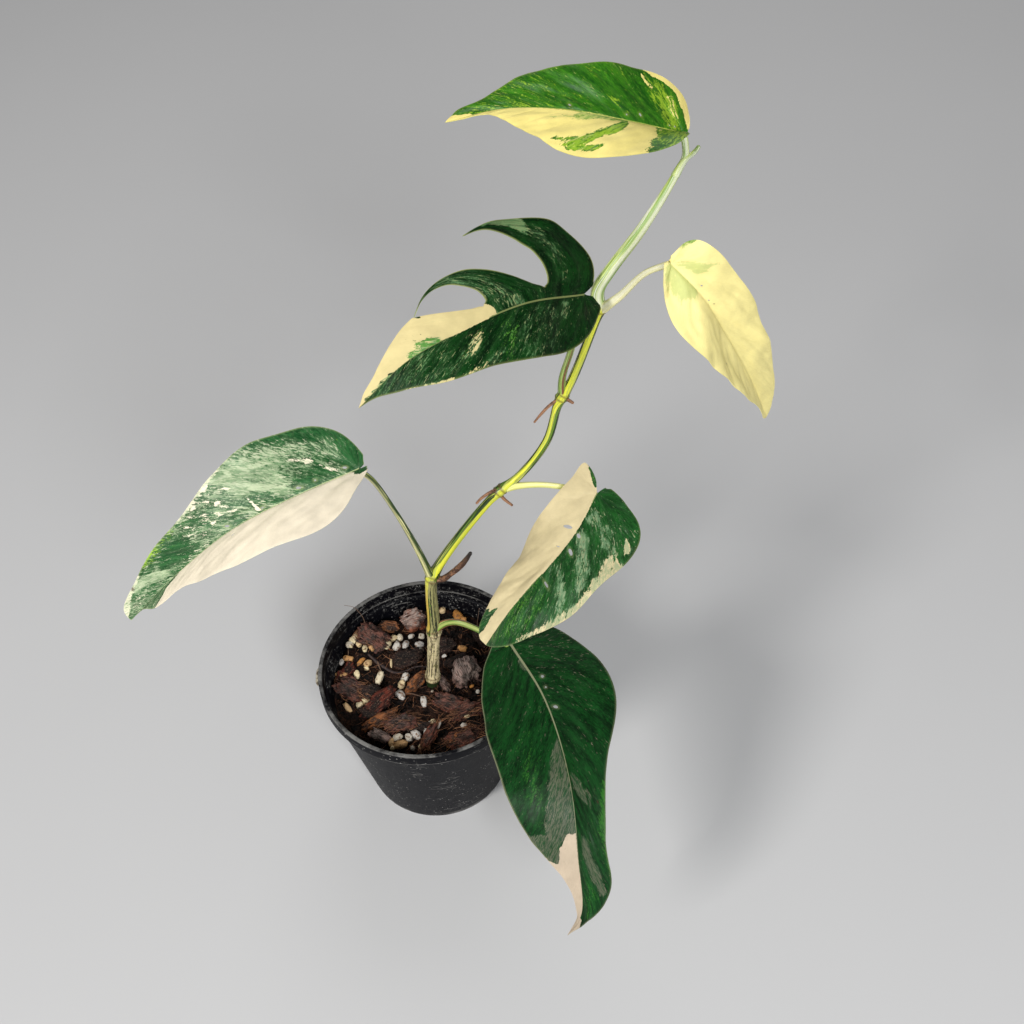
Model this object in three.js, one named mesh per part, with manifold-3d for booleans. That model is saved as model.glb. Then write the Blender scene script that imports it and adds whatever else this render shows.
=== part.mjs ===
// Potted epipremnum pinnatum: a young climbing vine with six variegated leaves, leaning out of a
// 12 cm plastic nursery pot. Millimetres, Z up, origin at the centre of the pot's base.
// The vine leans towards +X, and its lowest leaf hangs over the rim towards -Y.
import * as THREE from 'three';
import { mergeVertices } from 'three/addons/utils/BufferGeometryUtils.js';
import Module from 'manifold-3d';

const wasm = await Module();
wasm.setup();

const CLEARANCE = 0.3; // between pieces that rest on or hold each other

// Nursery pot: thin tapered wall, a deep lip round the rim and a step inside below it
const POT_HEIGHT = 95;
const RIM_RADIUS = 60;
const BASE_RADIUS = 41.5;
const WALL = 1.4;
const FLOOR = 2.4;
const LIP_HEIGHT = 7.5;
const LIP_OVERHANG = 2.2;
const STEP_DEPTH = 10; // of the inner ledge, below the rim
const STEP_WIDTH = 1.6;
const EDGE = 0.6; // bevel of the moulded edges
const DRAIN_HOLES = 6;
const DRAIN_RADIUS = 4;
const DRAIN_CIRCLE = 27;
const DRAIN_SIDES = 16;
const POT_SIDES = 44;

// Potting mix: filled to a little below the inner ledge, with bark and pumice on top
const MIX_LEVEL = 75;
const MIX_RINGS = 6;
const MIX_SIDES = 36;
const BUMP = 1.3; // height of the uneven surface
const SHOULDER = 4; // drop from that surface to the wall's straight fill
const CHUNK_MARGIN = 7; // between the middle of a chip and the wall
const STEM_SEAT = 20; // depth to which the stem stands in the mix
const PUMICE_CLUSTERS = [[-40, 24], [-19, 27], [-14, -4], [-13, -40], [18, 22], [-38, -12]];
const PUMICE_PER_CLUSTER = 7;
const PUMICE_SPREAD = 7;
const PUMICE_SIZE = [2.8, 5.4];
const PUMICE_SINK = 0.12; // share of its height by which a grain's middle stands above the surface
// Large bark pieces: place, length, width, height and heading in degrees
const BARK = [
  { at: [-10, 48], size: [15, 11, 6], heading: 20 },
  { at: [-45, -2], size: [11, 8, 4], heading: 70 },
  { at: [-29, -22], size: [24, 8, 5], heading: 22 },
  { at: [-8, 2], size: [14, 8, 6], heading: 50 },
  { at: [21, 6], size: [17, 14, 8], heading: 110 },
  { at: [15, -18], size: [18, 9, 5], heading: 160 },
  { at: [17, -37], size: [14, 8, 5], heading: 10 },
  { at: [-41, 32], size: [12, 9, 5], heading: 140 },
];
const BARK_SIDES = 6;
const BARK_TAPER = 0.75;
const BARK_SINK = 0.15;
const HUSK_CHIPS = 18;
const HUSK_SIZE = [4, 9];
const HUSK_SLIMNESS = 0.55;
const HUSK_HEIGHT = 3;
const HUSK_SINK = 0.1;
const SEED = 17;
const FREE_ROOT = [[-38, 24, 76], [-30, 17, 78.5], [-19, 10, 78.5], [-11, 8, 77.5], [-3, 11, 76]];
const FREE_ROOT_RADII = [0.5, 0.9, 0.9, 0.5];

// Vine stem, from its foot in the mix to the uppermost node
const STEM_ROUTE = [
  [1, 0, MIX_LEVEL - STEM_SEAT], [2, 0, 75], [7, 0, 125], [9, 4, 163], [13, 6, 171], [26, 9, 191],
  [45, 14, 214], [57, 17, 223], [71, 20, 243], [77, 24, 263], [83, 25, 275], [92, 28, 300], [97, 30, 315],
];
const STEM_RADII = [3.4, 3.4, 3.2, 3, 2.5, 2.2, 2, 2.1, 2.1, 2];
const NODES = [[7, 0, 125], [9, 4, 165], [47, 15, 216], [79, 25, 267], [97, 30, 313]];
const NODE_SWELL = 0.8;
const NODE_REACH = 4.5;
const STEM_SIDES = 8;
const STEM_STEPS = 44;
const ROOT_SIDES = 5;
const ROOT_STEPS = 7;
const STALK_STEPS = 12;
const HOOK_SIDES = 6;
const HOOK_STEPS = 6;

// Aerial roots grow from the nodes
const AERIAL_ROOTS = [
  {
    route: [[9, 4, 165], [14, 3, 164], [20, 1, 171], [26, -1, 180], [31, -4, 192]],
    radii: [1.9, 1.6, 1.5, 0.9],
  },
  { route: [[47, 15, 216], [43, 11, 217], [38, 9, 215], [34, 8, 211]], radii: [1.2, 1, 0.7] },
  { route: [[46, 15, 215], [49, 13, 210], [54, 10, 207]], radii: [1.2, 1, 0.8] },
  { route: [[79, 25, 266], [73, 22, 264], [69, 21, 260], [65, 20, 255]], radii: [1.2, 0.9, 0.6] },
  { route: [[79, 25, 266], [83, 22, 266], [86, 21, 265]], radii: [1.4, 1.2, 0.9] },
];

// Leaf stalks, each from the middle of its node to the base of its blade
const STALKS = {
  top: {
    route: [
      [96, 30, 311], [95, 31, 322], [101, 35, 330], [114, 43, 343], [129, 53, 362], [134, 57, 370],
      [133.5, 60, 378],
    ],
    radii: [2.6, 2.5, 2.4, 2.1, 1.6, 1.3],
  },
  split: {
    route: [[79, 25, 266], [79, 24, 278], [83, 21, 298], [88, 17.5, 329.5]],
    radii: [1.9, 1.6, 1.6, 1.4],
  },
  cream: {
    route: [[97, 30, 312], [104, 23, 324], [113, 12, 344], [121.5, 3.5, 354.5]],
    radii: [1.9, 1.6, 1.3, 1.3],
  },
  left: {
    route: [[9, 4, 165], [5, 2, 187], [-3, -3, 223], [-11, -6, 249], [-15.5, -8, 257.5]],
    radii: [1.8, 1.5, 1.2, 1.2],
  },
  folded: {
    route: [[47, 15, 216], [55, 15, 218], [67, 15, 218], [80, 14, 216], [94, 7, 217.5]],
    radii: [1.9, 1.6, 1.5, 1.3],
  },
  hanging: {
    route: [[7, 0, 126], [15, -2, 134], [22, -5, 137], [34, -10, 134], [47, -16, 129]],
    radii: [1.9, 1.6, 1.5, 1.3],
  },
};
// End of the wings that sheath the top stalk
const SHEATH_HOOK = {
  route: [[129, 53, 362], [134, 56, 369], [138, 58, 371], [140, 58, 374]],
  radii: [1.4, 1.2, 0.6],
};

// Leaf blades. The midrib runs from base to tip, and the half-widths are measured along the side
// veins at the stations. Right and left are seen when walking from base to tip on the upper face.
// Veins lean forward by their angle, roll turns the blade about its midrib, folds lift each half
// along the midrib, and curls are how far each half bends on the way to its margin, in degrees.
const STATIONS = [0, 0, 0.08, 0.2, 0.35, 0.5, 0.65, 0.8, 0.92, 1];
const BLADE = 0.8; // thickness
const BLADE_ROWS = 18;
const BLADE_COLUMNS = 5; // in each half
const FAN_PARTS = [0.3, 0.6]; // added rows at the base of a lobed blade, up to its first full row
const LEAVES = {
  top: {
    midrib: [[133, 60, 379], [107, 51, 392], [82, 48, 400], [58, 49, 401], [34, 55, 393]],
    right: { widths: [3, 4, 18, 24, 23, 19, 14, 7, 5, 0], folds: [33, 10, 15], curl: -1 },
    left: { widths: [2, 4, 15, 20, 24, 21, 12, 3, 1, 0], folds: [37, 8, 17], curl: -5 },
    veins: [-76, -51, -34, -17, -1, 13, 24, 33, 44, 51],
    roll: [13, 26, 18],
    wave: { height: 0.8, length: 31 },
  },
  split: {
    midrib: [[88, 17, 331], [61, -8, 347], [37, -26, 350], [15, -38, 346], [-5, -45, 330]],
    right: { widths: [5, 11, 18, 22, 23, 19, 14, 8, 4, 0], folds: [9, 11, 10], curl: -10 },
    left: { widths: [5, 10, 17, 23, 23, 19, 17, 10, 3, 0], folds: [4, 10, 10], curl: -14 },
    veins: [-73, -53, -35, -13, 3, 16, 26, 36, 47, 51],
    roll: [45, 36, 36],
    wave: { height: 0.7, length: 37 },
    // The right half is cut to the midrib in two places. Each lobe lies between a rear and a front
    // edge, as places along the midrib and across from it, from the midrib out to the lobe's tip.
    lobes: [
      {
        rear: [[0, 0], [-7, 3], [-11.5, 10], [-11, 17], [-5, 25], [6, 32], [23, 36], [38, 36], [52, 33.5]],
        front: [
          [24, 0], [24.5, 4.8], [21.5, 7], [20.5, 11], [22, 17], [26, 23], [34, 29.5], [43, 33], [52, 33.5],
        ],
        columns: 5,
      },
      {
        rear: [
          [24, 0], [24.5, 4.8], [31, 7.5], [40, 12.5], [50, 18], [59, 21.5], [69, 21.7], [78, 18.8], [85, 13],
        ],
        front: [
          [57, 0], [57.5, 4.8], [55.5, 7], [57, 11.5], [61.5, 15.5], [67, 18.5], [74, 19], [80, 17], [85, 13],
        ],
        columns: 5,
      },
      {
        rear: [[57, 0], [57.5, 4.8], [63, 6.2], [69, 8], [75, 9.8], [81, 11.6], [86, 13]],
        front: [[123, 0], [118, 2.4], [110, 4.4], [102, 7], [96, 9.4], [91, 11.5], [86, 13]],
        columns: 8,
      },
    ],
  },
  cream: {
    midrib: [[122, 3, 355], [135, -1, 341], [147, 0, 319], [160, 4, 292], [173, 12, 258]],
    right: { widths: [2, 3, 10, 18, 18, 15, 12, 7, 5, 0], folds: [11, 21, 23], curl: -7 },
    left: { widths: [2, 3, 16, 17, 18, 16, 15, 11, 6, 0], folds: [7, 19, 26], curl: -8 },
    veins: [-77, -50, -30, -8, 2, 11, 21, 31, 42, 50],
    roll: [-53, -58, -69],
    wave: { height: 0.6, length: 29 },
  },
  left: {
    midrib: [[-16, -8, 259], [-44, -22, 258], [-72, -31, 249], [-101, -36, 227], [-131, -38, 196]],
    right: { widths: [3, 7, 23, 30, 29, 21, 18, 14, 11, 0], folds: [24, 22, 28], curl: 1 },
    left: { widths: [4, 5, 15, 29, 26, 21, 12, 9, 1, 0], folds: [28, 24, 21], curl: -11 },
    veins: [-74, -42, -20, -2, 4, 17, 20, 34, 54, 62],
    roll: [10, 14, 32],
    wave: { height: 1, length: 34 },
  },
  folded: {
    midrib: [[94, 6, 219], [81, -14, 212], [66, -28, 203], [50, -38, 189], [36, -42, 166]],
    right: { widths: [6, 17, 17, 20, 25, 22, 17, 14, 9, 0], folds: [8, -8, 14], curl: -21 },
    left: { widths: [5, 7, 18, 30, 27, 26, 20, 13, 6, 0], folds: [8, -3, 10], curl: -14 },
    veins: [-60, -43, -27, -12, 2, 14, 24, 32, 44, 53],
    roll: [8, -5, 15],
    wave: { height: 0.8, length: 30 },
  },
  hanging: {
    midrib: [[48, -16, 130], [64, -56, 135], [73, -96, 127], [75, -127, 105], [75, -144, 80], [68, -150, 72]],
    right: { widths: [5, 12, 24, 33, 34, 32, 24, 8, 3, 0], folds: [-5, 22, 4], curl: -4 },
    left: { widths: [6, 15, 25, 31, 37, 24, 18, 16, 5, 0], folds: [-6, 24, 3], curl: -21 },
    veins: [-53, -37, -25, -8, 2, 7, 11, 8, 27, 40],
    roll: [-23, -30, -23],
    wave: { height: 1, length: 42 },
  },
};

const COLOURS = {
  plastic: 0x17181a, mix: 0x241a14, stem: 0x6f7d35, stalk: 0x9db25a,
  top: 0x5f9a2c, split: 0x24502c, cream: 0xe6e0a4, left: 0x4f7d4c, folded: 0xb9c39a, hanging: 0x1f4f2c,
};

const plant = new THREE.Group();

function add(name, geometry, color, roughness) {
  const mesh = new THREE.Mesh(geometry, new THREE.MeshStandardMaterial({ color, roughness, metalness: 0 }));
  mesh.name = name;
  plant.add(mesh);
}

const vectors = (points) => points.map((point) => new THREE.Vector3(...point));
const clamp = THREE.MathUtils.clamp;
const radians = THREE.MathUtils.degToRad;

// A smooth run of values, spaced evenly from 0 to 1
function along(values) {
  const curve = new THREE.SplineCurve(values.map((value, i) => new THREE.Vector2(i, value)));
  return (share) => curve.getPoint(clamp(share, 0, 1)).y;
}

// A closed triangle mesh as a solid that can be joined and cut, and the way back
function toSolid(geometry) {
  const bare = geometry.clone();
  bare.deleteAttribute('normal');
  bare.deleteAttribute('uv');
  const merged = mergeVertices(bare, 1e-4);
  return new wasm.Manifold(new wasm.Mesh({
    numProp: 3,
    vertProperties: new Float32Array(merged.attributes.position.array),
    triVerts: new Uint32Array(merged.index.array),
  }));
}

function toGeometry(solid) {
  const mesh = solid.getMesh();
  const geometry = new THREE.BufferGeometry();
  geometry.setAttribute('position', new THREE.BufferAttribute(mesh.vertProperties, 3));
  geometry.setIndex(new THREE.BufferAttribute(mesh.triVerts, 1));
  geometry.computeVertexNormals();
  return geometry;
}

function largestBody(solid) {
  return solid.decompose().reduce((best, body) => (body.volume() > best.volume() ? body : best));
}

// Seeded draws from 0 to 1, the same on each run
function draws(seed) {
  const [factor, modulus] = [16807, 2 ** 31 - 1];
  let state = seed;
  return () => {
    state = (state * factor) % modulus;
    return state / modulus;
  };
}

// A round stalk: a closed cylinder bent along a route, with its radius changing on the way
function stalk(route, radii, sides, steps, swell = () => 0) {
  const curve = new THREE.CatmullRomCurve3(vectors(route), false, 'centripetal');
  const radius = along(radii);
  const geometry = new THREE.CylinderGeometry(1, 1, 1, sides, steps);
  const place = geometry.attributes.position;
  for (let i = 0; i < place.count; i += 1) {
    const share = place.getY(i) + 0.5;
    const centre = curve.getPointAt(clamp(share, 0, 1));
    const tangent = curve.getTangentAt(clamp(share, 0, 1));
    const across = new THREE.Vector3(0, 1, 0).cross(tangent).normalize();
    const outward = across.clone().cross(tangent);
    const size = radius(share) + swell(centre);
    centre.addScaledVector(across, place.getX(i) * size).addScaledVector(outward, place.getZ(i) * size);
    place.setXYZ(i, centre.x, centre.y, centre.z);
  }
  return geometry;
}

// Nursery pot: one turned profile, with drain holes round the solid middle of its base
function potRadius(height) {
  return BASE_RADIUS + (RIM_RADIUS - LIP_OVERHANG - BASE_RADIUS) * height / (POT_HEIGHT - LIP_HEIGHT);
}

function potGeometry() {
  const lipFoot = POT_HEIGHT - LIP_HEIGHT;
  const ledge = POT_HEIGHT - STEP_DEPTH;
  const rimInside = RIM_RADIUS - LIP_OVERHANG;
  const profile = [
    [0, 0], [BASE_RADIUS - EDGE, 0], [potRadius(EDGE), EDGE], [potRadius(lipFoot), lipFoot],
    [RIM_RADIUS - EDGE, lipFoot], [RIM_RADIUS, lipFoot + EDGE], [RIM_RADIUS, POT_HEIGHT - EDGE],
    [RIM_RADIUS - EDGE, POT_HEIGHT], [rimInside + EDGE, POT_HEIGHT], [rimInside, POT_HEIGHT - EDGE],
    [rimInside - EDGE, ledge], [rimInside - STEP_WIDTH, ledge - EDGE],
    [potRadius(ledge - 2 * STEP_WIDTH) - WALL, ledge - 2 * STEP_WIDTH],
    [potRadius(FLOOR) - WALL, FLOOR], [0, FLOOR],
  ];
  let solid = toSolid(new THREE.LatheGeometry(profile.map(([x, y]) => new THREE.Vector2(x, y)), POT_SIDES)
    .rotateX(Math.PI / 2));
  for (let i = 0; i < DRAIN_HOLES; i += 1) {
    const turn = (i / DRAIN_HOLES) * 2 * Math.PI;
    const hole = new THREE.CylinderGeometry(DRAIN_RADIUS, DRAIN_RADIUS, 4 * FLOOR, DRAIN_SIDES)
      .rotateX(Math.PI / 2)
      .translate(DRAIN_CIRCLE * Math.cos(turn), DRAIN_CIRCLE * Math.sin(turn), 0);
    solid = solid.subtract(toSolid(hole));
  }
  return toGeometry(solid);
}

// Potting mix: a filling with an uneven top, and bark, husk and pumice sunk into it
const fillRadius = (height) => potRadius(height) - WALL - CLEARANCE;
const mixTopRadius = fillRadius(MIX_LEVEL);

// Height of the uneven surface: broad swells and a finer slanting ripple
function mixHeight(x, y) {
  const rolling = Math.sin(0.13 * x + 1) * Math.cos(0.11 * y) + 0.6 * Math.sin(0.31 * x - 0.27 * y);
  return MIX_LEVEL + BUMP * rolling;
}

function fillingGeometry() {
  const bottom = FLOOR + CLEARANCE;
  const shoulder = MIX_LEVEL - SHOULDER;
  const profile = [[0, bottom], [fillRadius(bottom), bottom], [fillRadius(shoulder), shoulder]];
  for (let ring = MIX_RINGS; ring >= 0; ring -= 1) profile.push([mixTopRadius * ring / MIX_RINGS, MIX_LEVEL]);
  const geometry = new THREE.LatheGeometry(profile.map(([x, y]) => new THREE.Vector2(x, y)), MIX_SIDES)
    .rotateX(Math.PI / 2);
  const place = geometry.attributes.position;
  for (let i = 0; i < place.count; i += 1) {
    if (place.getZ(i) > shoulder + EDGE) place.setZ(i, mixHeight(place.getX(i), place.getY(i)));
  }
  return geometry;
}

function chunk(form, at, size, heading, sink) {
  const [length, width, height] = size;
  return form.clone().scale(length / 2, width / 2, height / 2).rotateZ(radians(heading))
    .translate(at[0], at[1], mixHeight(at[0], at[1]) + height * sink);
}

function mixGeometry(stemEnvelope) {
  const draw = draws(SEED);
  const between = ([low, high]) => low + (high - low) * draw();
  const barkForm = new THREE.CylinderGeometry(BARK_TAPER, 1, 2, BARK_SIDES).rotateX(Math.PI / 2);
  const grainForm = new THREE.OctahedronGeometry(1, 0);
  const chunks = BARK.map(({ at, size, heading }) => chunk(barkForm, at, size, heading, BARK_SINK));
  for (let i = 0; i < HUSK_CHIPS; i += 1) {
    const reach = Math.sqrt(draw()) * (mixTopRadius - CHUNK_MARGIN);
    const turn = 2 * Math.PI * draw();
    const at = [reach * Math.cos(turn), reach * Math.sin(turn)];
    const long = between(HUSK_SIZE);
    const size = [long, HUSK_SLIMNESS * long, HUSK_HEIGHT];
    chunks.push(chunk(barkForm, at, size, 180 * draw(), HUSK_SINK));
  }
  for (const [x, y] of PUMICE_CLUSTERS) {
    for (let i = 0; i < PUMICE_PER_CLUSTER; i += 1) {
      const size = between(PUMICE_SIZE);
      const at = [x + PUMICE_SPREAD * (draw() + draw() - 1), y + PUMICE_SPREAD * (draw() + draw() - 1)];
      const inside = Math.min(1, (mixTopRadius - size) / Math.hypot(...at));
      const place = at.map((value) => value * inside);
      chunks.push(chunk(grainForm, place, [size, size, size], 360 * draw(), PUMICE_SINK));
    }
  }
  chunks.push(stalk(FREE_ROOT, FREE_ROOT_RADII, ROOT_SIDES, ROOT_STEPS));
  const ledge = POT_HEIGHT - STEP_DEPTH - 2 * STEP_WIDTH;
  const insidePot = new THREE.LatheGeometry([
    [0, 0], [fillRadius(0), 0], [fillRadius(ledge), ledge], [0, ledge],
  ].map(([x, y]) => new THREE.Vector2(x, y)), MIX_SIDES).rotateX(Math.PI / 2);
  const filling = chunks.reduce((solid, piece) => solid.add(toSolid(piece)), toSolid(fillingGeometry()))
    .intersect(toSolid(insidePot));
  return toGeometry(largestBody(filling.subtract(stemEnvelope)));
}

// Vine stem with its swollen nodes, and the same form made larger by the clearance
function nodeSwell(centre) {
  const nearest = Math.min(...vectors(NODES).map((node) => node.distanceTo(centre)));
  return NODE_SWELL * Math.exp(-((nearest / NODE_REACH) ** 2));
}

function stemSolid(extra) {
  const radii = STEM_RADII.map((radius) => radius + extra);
  const route = STEM_ROUTE.map(([x, y, z], i) => [x, y, z - (i === 0 ? extra : 0)]);
  return toSolid(stalk(route, radii, STEM_SIDES, STEM_STEPS, nodeSwell));
}

const grown = ({ route, radii }, extra, sides, steps) => toSolid(stalk(
  route,
  radii.map((radius) => radius + extra),
  sides,
  steps,
));

function rootedStem(extra) {
  return AERIAL_ROOTS.reduce(
    (solid, root) => solid.add(grown(root, extra, ROOT_SIDES, ROOT_STEPS)),
    stemSolid(extra),
  );
}

// Leaf blades: a flat outline bent over its midrib
class Sheet {
  places = [];
  faces = [];
  index = new Map();

  point(x, y) {
    const key = `${Math.round(100 * x)} ${Math.round(100 * y)}`;
    if (!this.index.has(key)) {
      this.index.set(key, this.places.length);
      this.places.push([x, y]);
    }
    return this.index.get(key);
  }

  // Fills a grid of flat places, whose second direction is the one that runs base to tip
  grid(rows) {
    const marks = rows.map((row) => row.map(([x, y]) => this.point(x, y)));
    for (let i = 0; i + 1 < marks.length; i += 1) {
      for (let j = 0; j + 1 < marks[i].length; j += 1) {
        const corners = [marks[i][j], marks[i + 1][j], marks[i + 1][j + 1], marks[i][j + 1]];
        for (const face of [[corners[0], corners[1], corners[2]], [corners[0], corners[2], corners[3]]]) {
          if (new Set(face).size === 3) this.faces.push(face);
        }
      }
    }
  }
}

// Share of the midrib at which a row starts; the first rows fan out from its base
const stationCurve = along(STATIONS);
const station = (share) => Math.max(0, stationCurve(share));

// Rows of a blade; those of a lobed one fan out from its base and then start where its lobes' do
function rowShares(leaf, length) {
  if (!leaf.lobes) return Array.from({ length: BLADE_ROWS + 1 }, (_, i) => i / BLADE_ROWS);
  const places = leaf.lobes.flatMap(({ rear, front, columns }) => Array.from(
    { length: columns },
    (_, i) => rear[0][0] + (front[0][0] - rear[0][0]) * i / columns,
  )).concat(length);
  const shares = places.map((place) => {
    let [low, high] = [0, 1];
    while (high - low > 1e-9) {
      const middle = (low + high) / 2;
      if (station(middle) * length < place) low = middle;
      else high = middle;
    }
    return (low + high) / 2;
  });
  const fan = FAN_PARTS.map((part) => part * shares[1]);
  return [0, ...fan, ...shares.slice(1)];
}

// Half a blade: each row leaves the midrib at the angle of the side veins there
function halfRows(leaf, side, length, shares) {
  const width = along((side > 0 ? leaf.right : leaf.left).widths);
  const lean = along(leaf.veins);
  const across = Array.from({ length: BLADE_COLUMNS + 1 }, (_, i) => i / BLADE_COLUMNS);
  const columns = across.map((part) => shares.map((share) => {
    const reach = Math.max(0, width(share)) * part;
    const angle = radians(lean(share));
    return [station(share) * length + reach * Math.sin(angle), side * reach * Math.cos(angle)];
  }));
  return side > 0 ? columns : columns.reverse();
}

function lobeRows({ rear, front, columns }) {
  const edges = [rear, front]
    .map((edge) => new THREE.SplineCurve(edge.map(([x, y]) => new THREE.Vector2(x, y))));
  // The step after the midrib is left out, so that the web shared with the next lobe has one edge
  const steps = (rear.length - 1) * 2;
  return Array.from({ length: steps + 1 }, (_, i) => i)
    .filter((i) => i !== 1)
    .map((i) => {
      const [back, fore] = edges.map((edge) => edge.getPoint(i / steps));
      return Array.from({ length: columns + 1 }, (_, j) => back.clone().lerp(fore, j / columns).toArray());
    });
}

function bladeForm(leaf) {
  const curve = new THREE.CatmullRomCurve3(vectors(leaf.midrib), false, 'centripetal');
  const length = curve.getLength();
  const widest = Math.max(...leaf.right.widths, ...leaf.left.widths);
  const roll = along(leaf.roll);
  const halves = [leaf.right, leaf.left]
    .map(({ folds, curl }) => ({ fold: along(folds), curl: radians(curl) }));
  const bend = ([x, y]) => {
    const share = clamp(x / length, 0, 1);
    const tangent = curve.getTangentAt(share);
    const flatSide = tangent.clone().cross(new THREE.Vector3(0, 0, 1)).normalize();
    const flatUp = flatSide.clone().cross(tangent);
    const turn = radians(roll(share));
    const sideways = flatSide.clone().multiplyScalar(Math.cos(turn)).addScaledVector(flatUp, Math.sin(turn));
    const upward = flatUp.multiplyScalar(Math.cos(turn)).addScaledVector(flatSide, -Math.sin(turn));
    const { fold, curl } = halves[y > 0 ? 0 : 1];
    const start = radians(fold(share));
    const reach = Math.abs(y);
    const rate = (curl || 1e-4) / widest;
    const out = (Math.sin(start + rate * reach) - Math.sin(start)) / rate;
    const lift = (Math.cos(start) - Math.cos(start + rate * reach)) / rate;
    const ripple = leaf.wave.height * Math.sin(2 * Math.PI * x / leaf.wave.length) * (reach / widest) ** 2;
    return curve.getPointAt(share).addScaledVector(tangent, x - share * length)
      .addScaledVector(sideways, Math.sign(y) * out).addScaledVector(upward, lift + ripple);
  };
  return { length, bend };
}

// Thickens a bent sheet evenly on both faces and walls its open edges
function thickened(places, faces, thickness) {
  const normals = places.map(() => new THREE.Vector3());
  const rims = new Map();
  for (const [a, b, c] of faces) {
    const normal = places[b].clone().sub(places[a]).cross(places[c].clone().sub(places[a]));
    [a, b, c].forEach((mark) => normals[mark].add(normal));
    for (const [from, to] of [[a, b], [b, c], [c, a]]) {
      if (!rims.delete(`${to} ${from}`)) rims.set(`${from} ${to}`, [from, to]);
    }
  }
  const count = places.length;
  const positions = [1, -1].flatMap((face) => places.flatMap((place, i) => place.clone()
    .addScaledVector(normals[i].clone().normalize(), face * thickness / 2).toArray()));
  const index = faces.flatMap(([a, b, c]) => [a, b, c, a + count, c + count, b + count]);
  for (const [from, to] of rims.values()) {
    index.push(from, from + count, to + count, from, to + count, to);
  }
  const geometry = new THREE.BufferGeometry();
  geometry.setAttribute('position', new THREE.Float32BufferAttribute(positions, 3));
  geometry.setIndex(index);
  geometry.computeVertexNormals();
  return geometry;
}

function bladeGeometry(leaf, thickness) {
  const { length, bend } = bladeForm(leaf);
  const sheet = new Sheet();
  const shares = rowShares(leaf, length);
  sheet.grid(halfRows(leaf, -1, length, shares));
  if (leaf.lobes) leaf.lobes.forEach((lobe) => sheet.grid(lobeRows(lobe)));
  else sheet.grid(halfRows(leaf, 1, length, shares));
  return thickened(sheet.places.map(bend), sheet.faces, thickness);
}

// A leaf stalk made larger by the given amount; the top one carries the hooked end of its sheath
function stalkSolid(name, extra) {
  const solid = grown(STALKS[name], extra, STEM_SIDES, STALK_STEPS);
  return name === 'top' ? solid.add(grown(SHEATH_HOOK, extra, HOOK_SIDES, HOOK_STEPS)) : solid;
}

const stemEnvelope = rootedStem(CLEARANCE);
add('nursery_pot', potGeometry(), COLOURS.plastic, 0.55);
add('potting_mix', mixGeometry(stemEnvelope), COLOURS.mix, 0.95);
add('vine_stem', toGeometry(rootedStem(0)), COLOURS.stem, 0.6);

// Stalks are cut clear of the stem, of the blades and of each other
let taken = Object.values(LEAVES).reduce((solid, leaf) => solid
  .add(toSolid(bladeGeometry(leaf, BLADE + 2 * CLEARANCE))), stemEnvelope);
for (const name of Object.keys(STALKS)) {
  add(`stalk_${name}`, toGeometry(largestBody(stalkSolid(name, 0).subtract(taken))), COLOURS.stalk, 0.5);
  taken = taken.add(stalkSolid(name, CLEARANCE));
}
for (const [name, leaf] of Object.entries(LEAVES)) {
  add(`leaf_${name}`, bladeGeometry(leaf, BLADE), COLOURS[name], 0.4);
}

export default plant;
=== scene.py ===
import bpy
import numpy as np
from mathutils import Matrix, Vector


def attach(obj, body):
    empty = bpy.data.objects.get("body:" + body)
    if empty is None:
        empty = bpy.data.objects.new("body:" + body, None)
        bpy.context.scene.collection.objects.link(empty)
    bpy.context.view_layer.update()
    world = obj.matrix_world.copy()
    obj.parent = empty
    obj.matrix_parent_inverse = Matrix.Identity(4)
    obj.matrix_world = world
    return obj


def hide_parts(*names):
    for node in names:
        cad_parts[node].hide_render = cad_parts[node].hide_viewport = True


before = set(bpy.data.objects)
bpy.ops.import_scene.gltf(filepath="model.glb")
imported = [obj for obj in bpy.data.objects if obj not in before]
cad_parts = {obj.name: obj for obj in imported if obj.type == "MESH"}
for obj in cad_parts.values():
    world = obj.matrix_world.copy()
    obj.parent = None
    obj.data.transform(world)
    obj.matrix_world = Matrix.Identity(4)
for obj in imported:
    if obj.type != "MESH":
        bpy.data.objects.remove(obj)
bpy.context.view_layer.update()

# Potted epipremnum pinnatum: a young variegated vine with six leaves, leaning out of a 12 cm
# nursery pot. Metres, Z up, with the origin at the middle of the pot's base.

# Floor, light and camera. The plant stands on a plain pale floor and is seen from above and in
# front, from 70 cm away. Soft lamps shine from the left and the front, and a weak one from behind.
EYE = (0.0524, -0.407, 0.6597)
LOOKING_DOWN = 47.5
HEAD_TILT = 3.2
FOCAL_LENGTH = 43.77
CLIP_START = 0.02
FLOOR_REACH = 6
FLOOR_GREY = 0.56
FLOOR_BLUE = 1.01
FLOOR_TONES = (0.97, 1.03)
FLOOR_ROUGHNESS = 0.8
SKY_STRENGTH = 0.16
LAMPS = [
    ("lamp_left", (-1.2, -1.2, 1.5), (0.02, 0, 0.25), 0.6, 31, (1, 0.985, 0.955)),
    ("lamp_front", (0.5, -1.5, 1.3), (0.02, 0, 0.2), 0.6, 26, (0.98, 0.99, 1)),
    ("lamp_back", (0.2, 1.6, 1.6), (0.02, 0, 0.25), 1.4, 8, (1, 1, 1)),
]


def paint(code):
    """Linear red, green, blue and alpha of a screen colour written as six hexadecimal digits."""
    shares = np.array([int(code[k:k + 2], 16) for k in (0, 2, 4)]) / 255
    linear = np.where(shares < 0.04045, shares / 12.92, ((shares + 0.055) / 1.055) ** 2.4)
    return (*linear.tolist(), 1)


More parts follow.
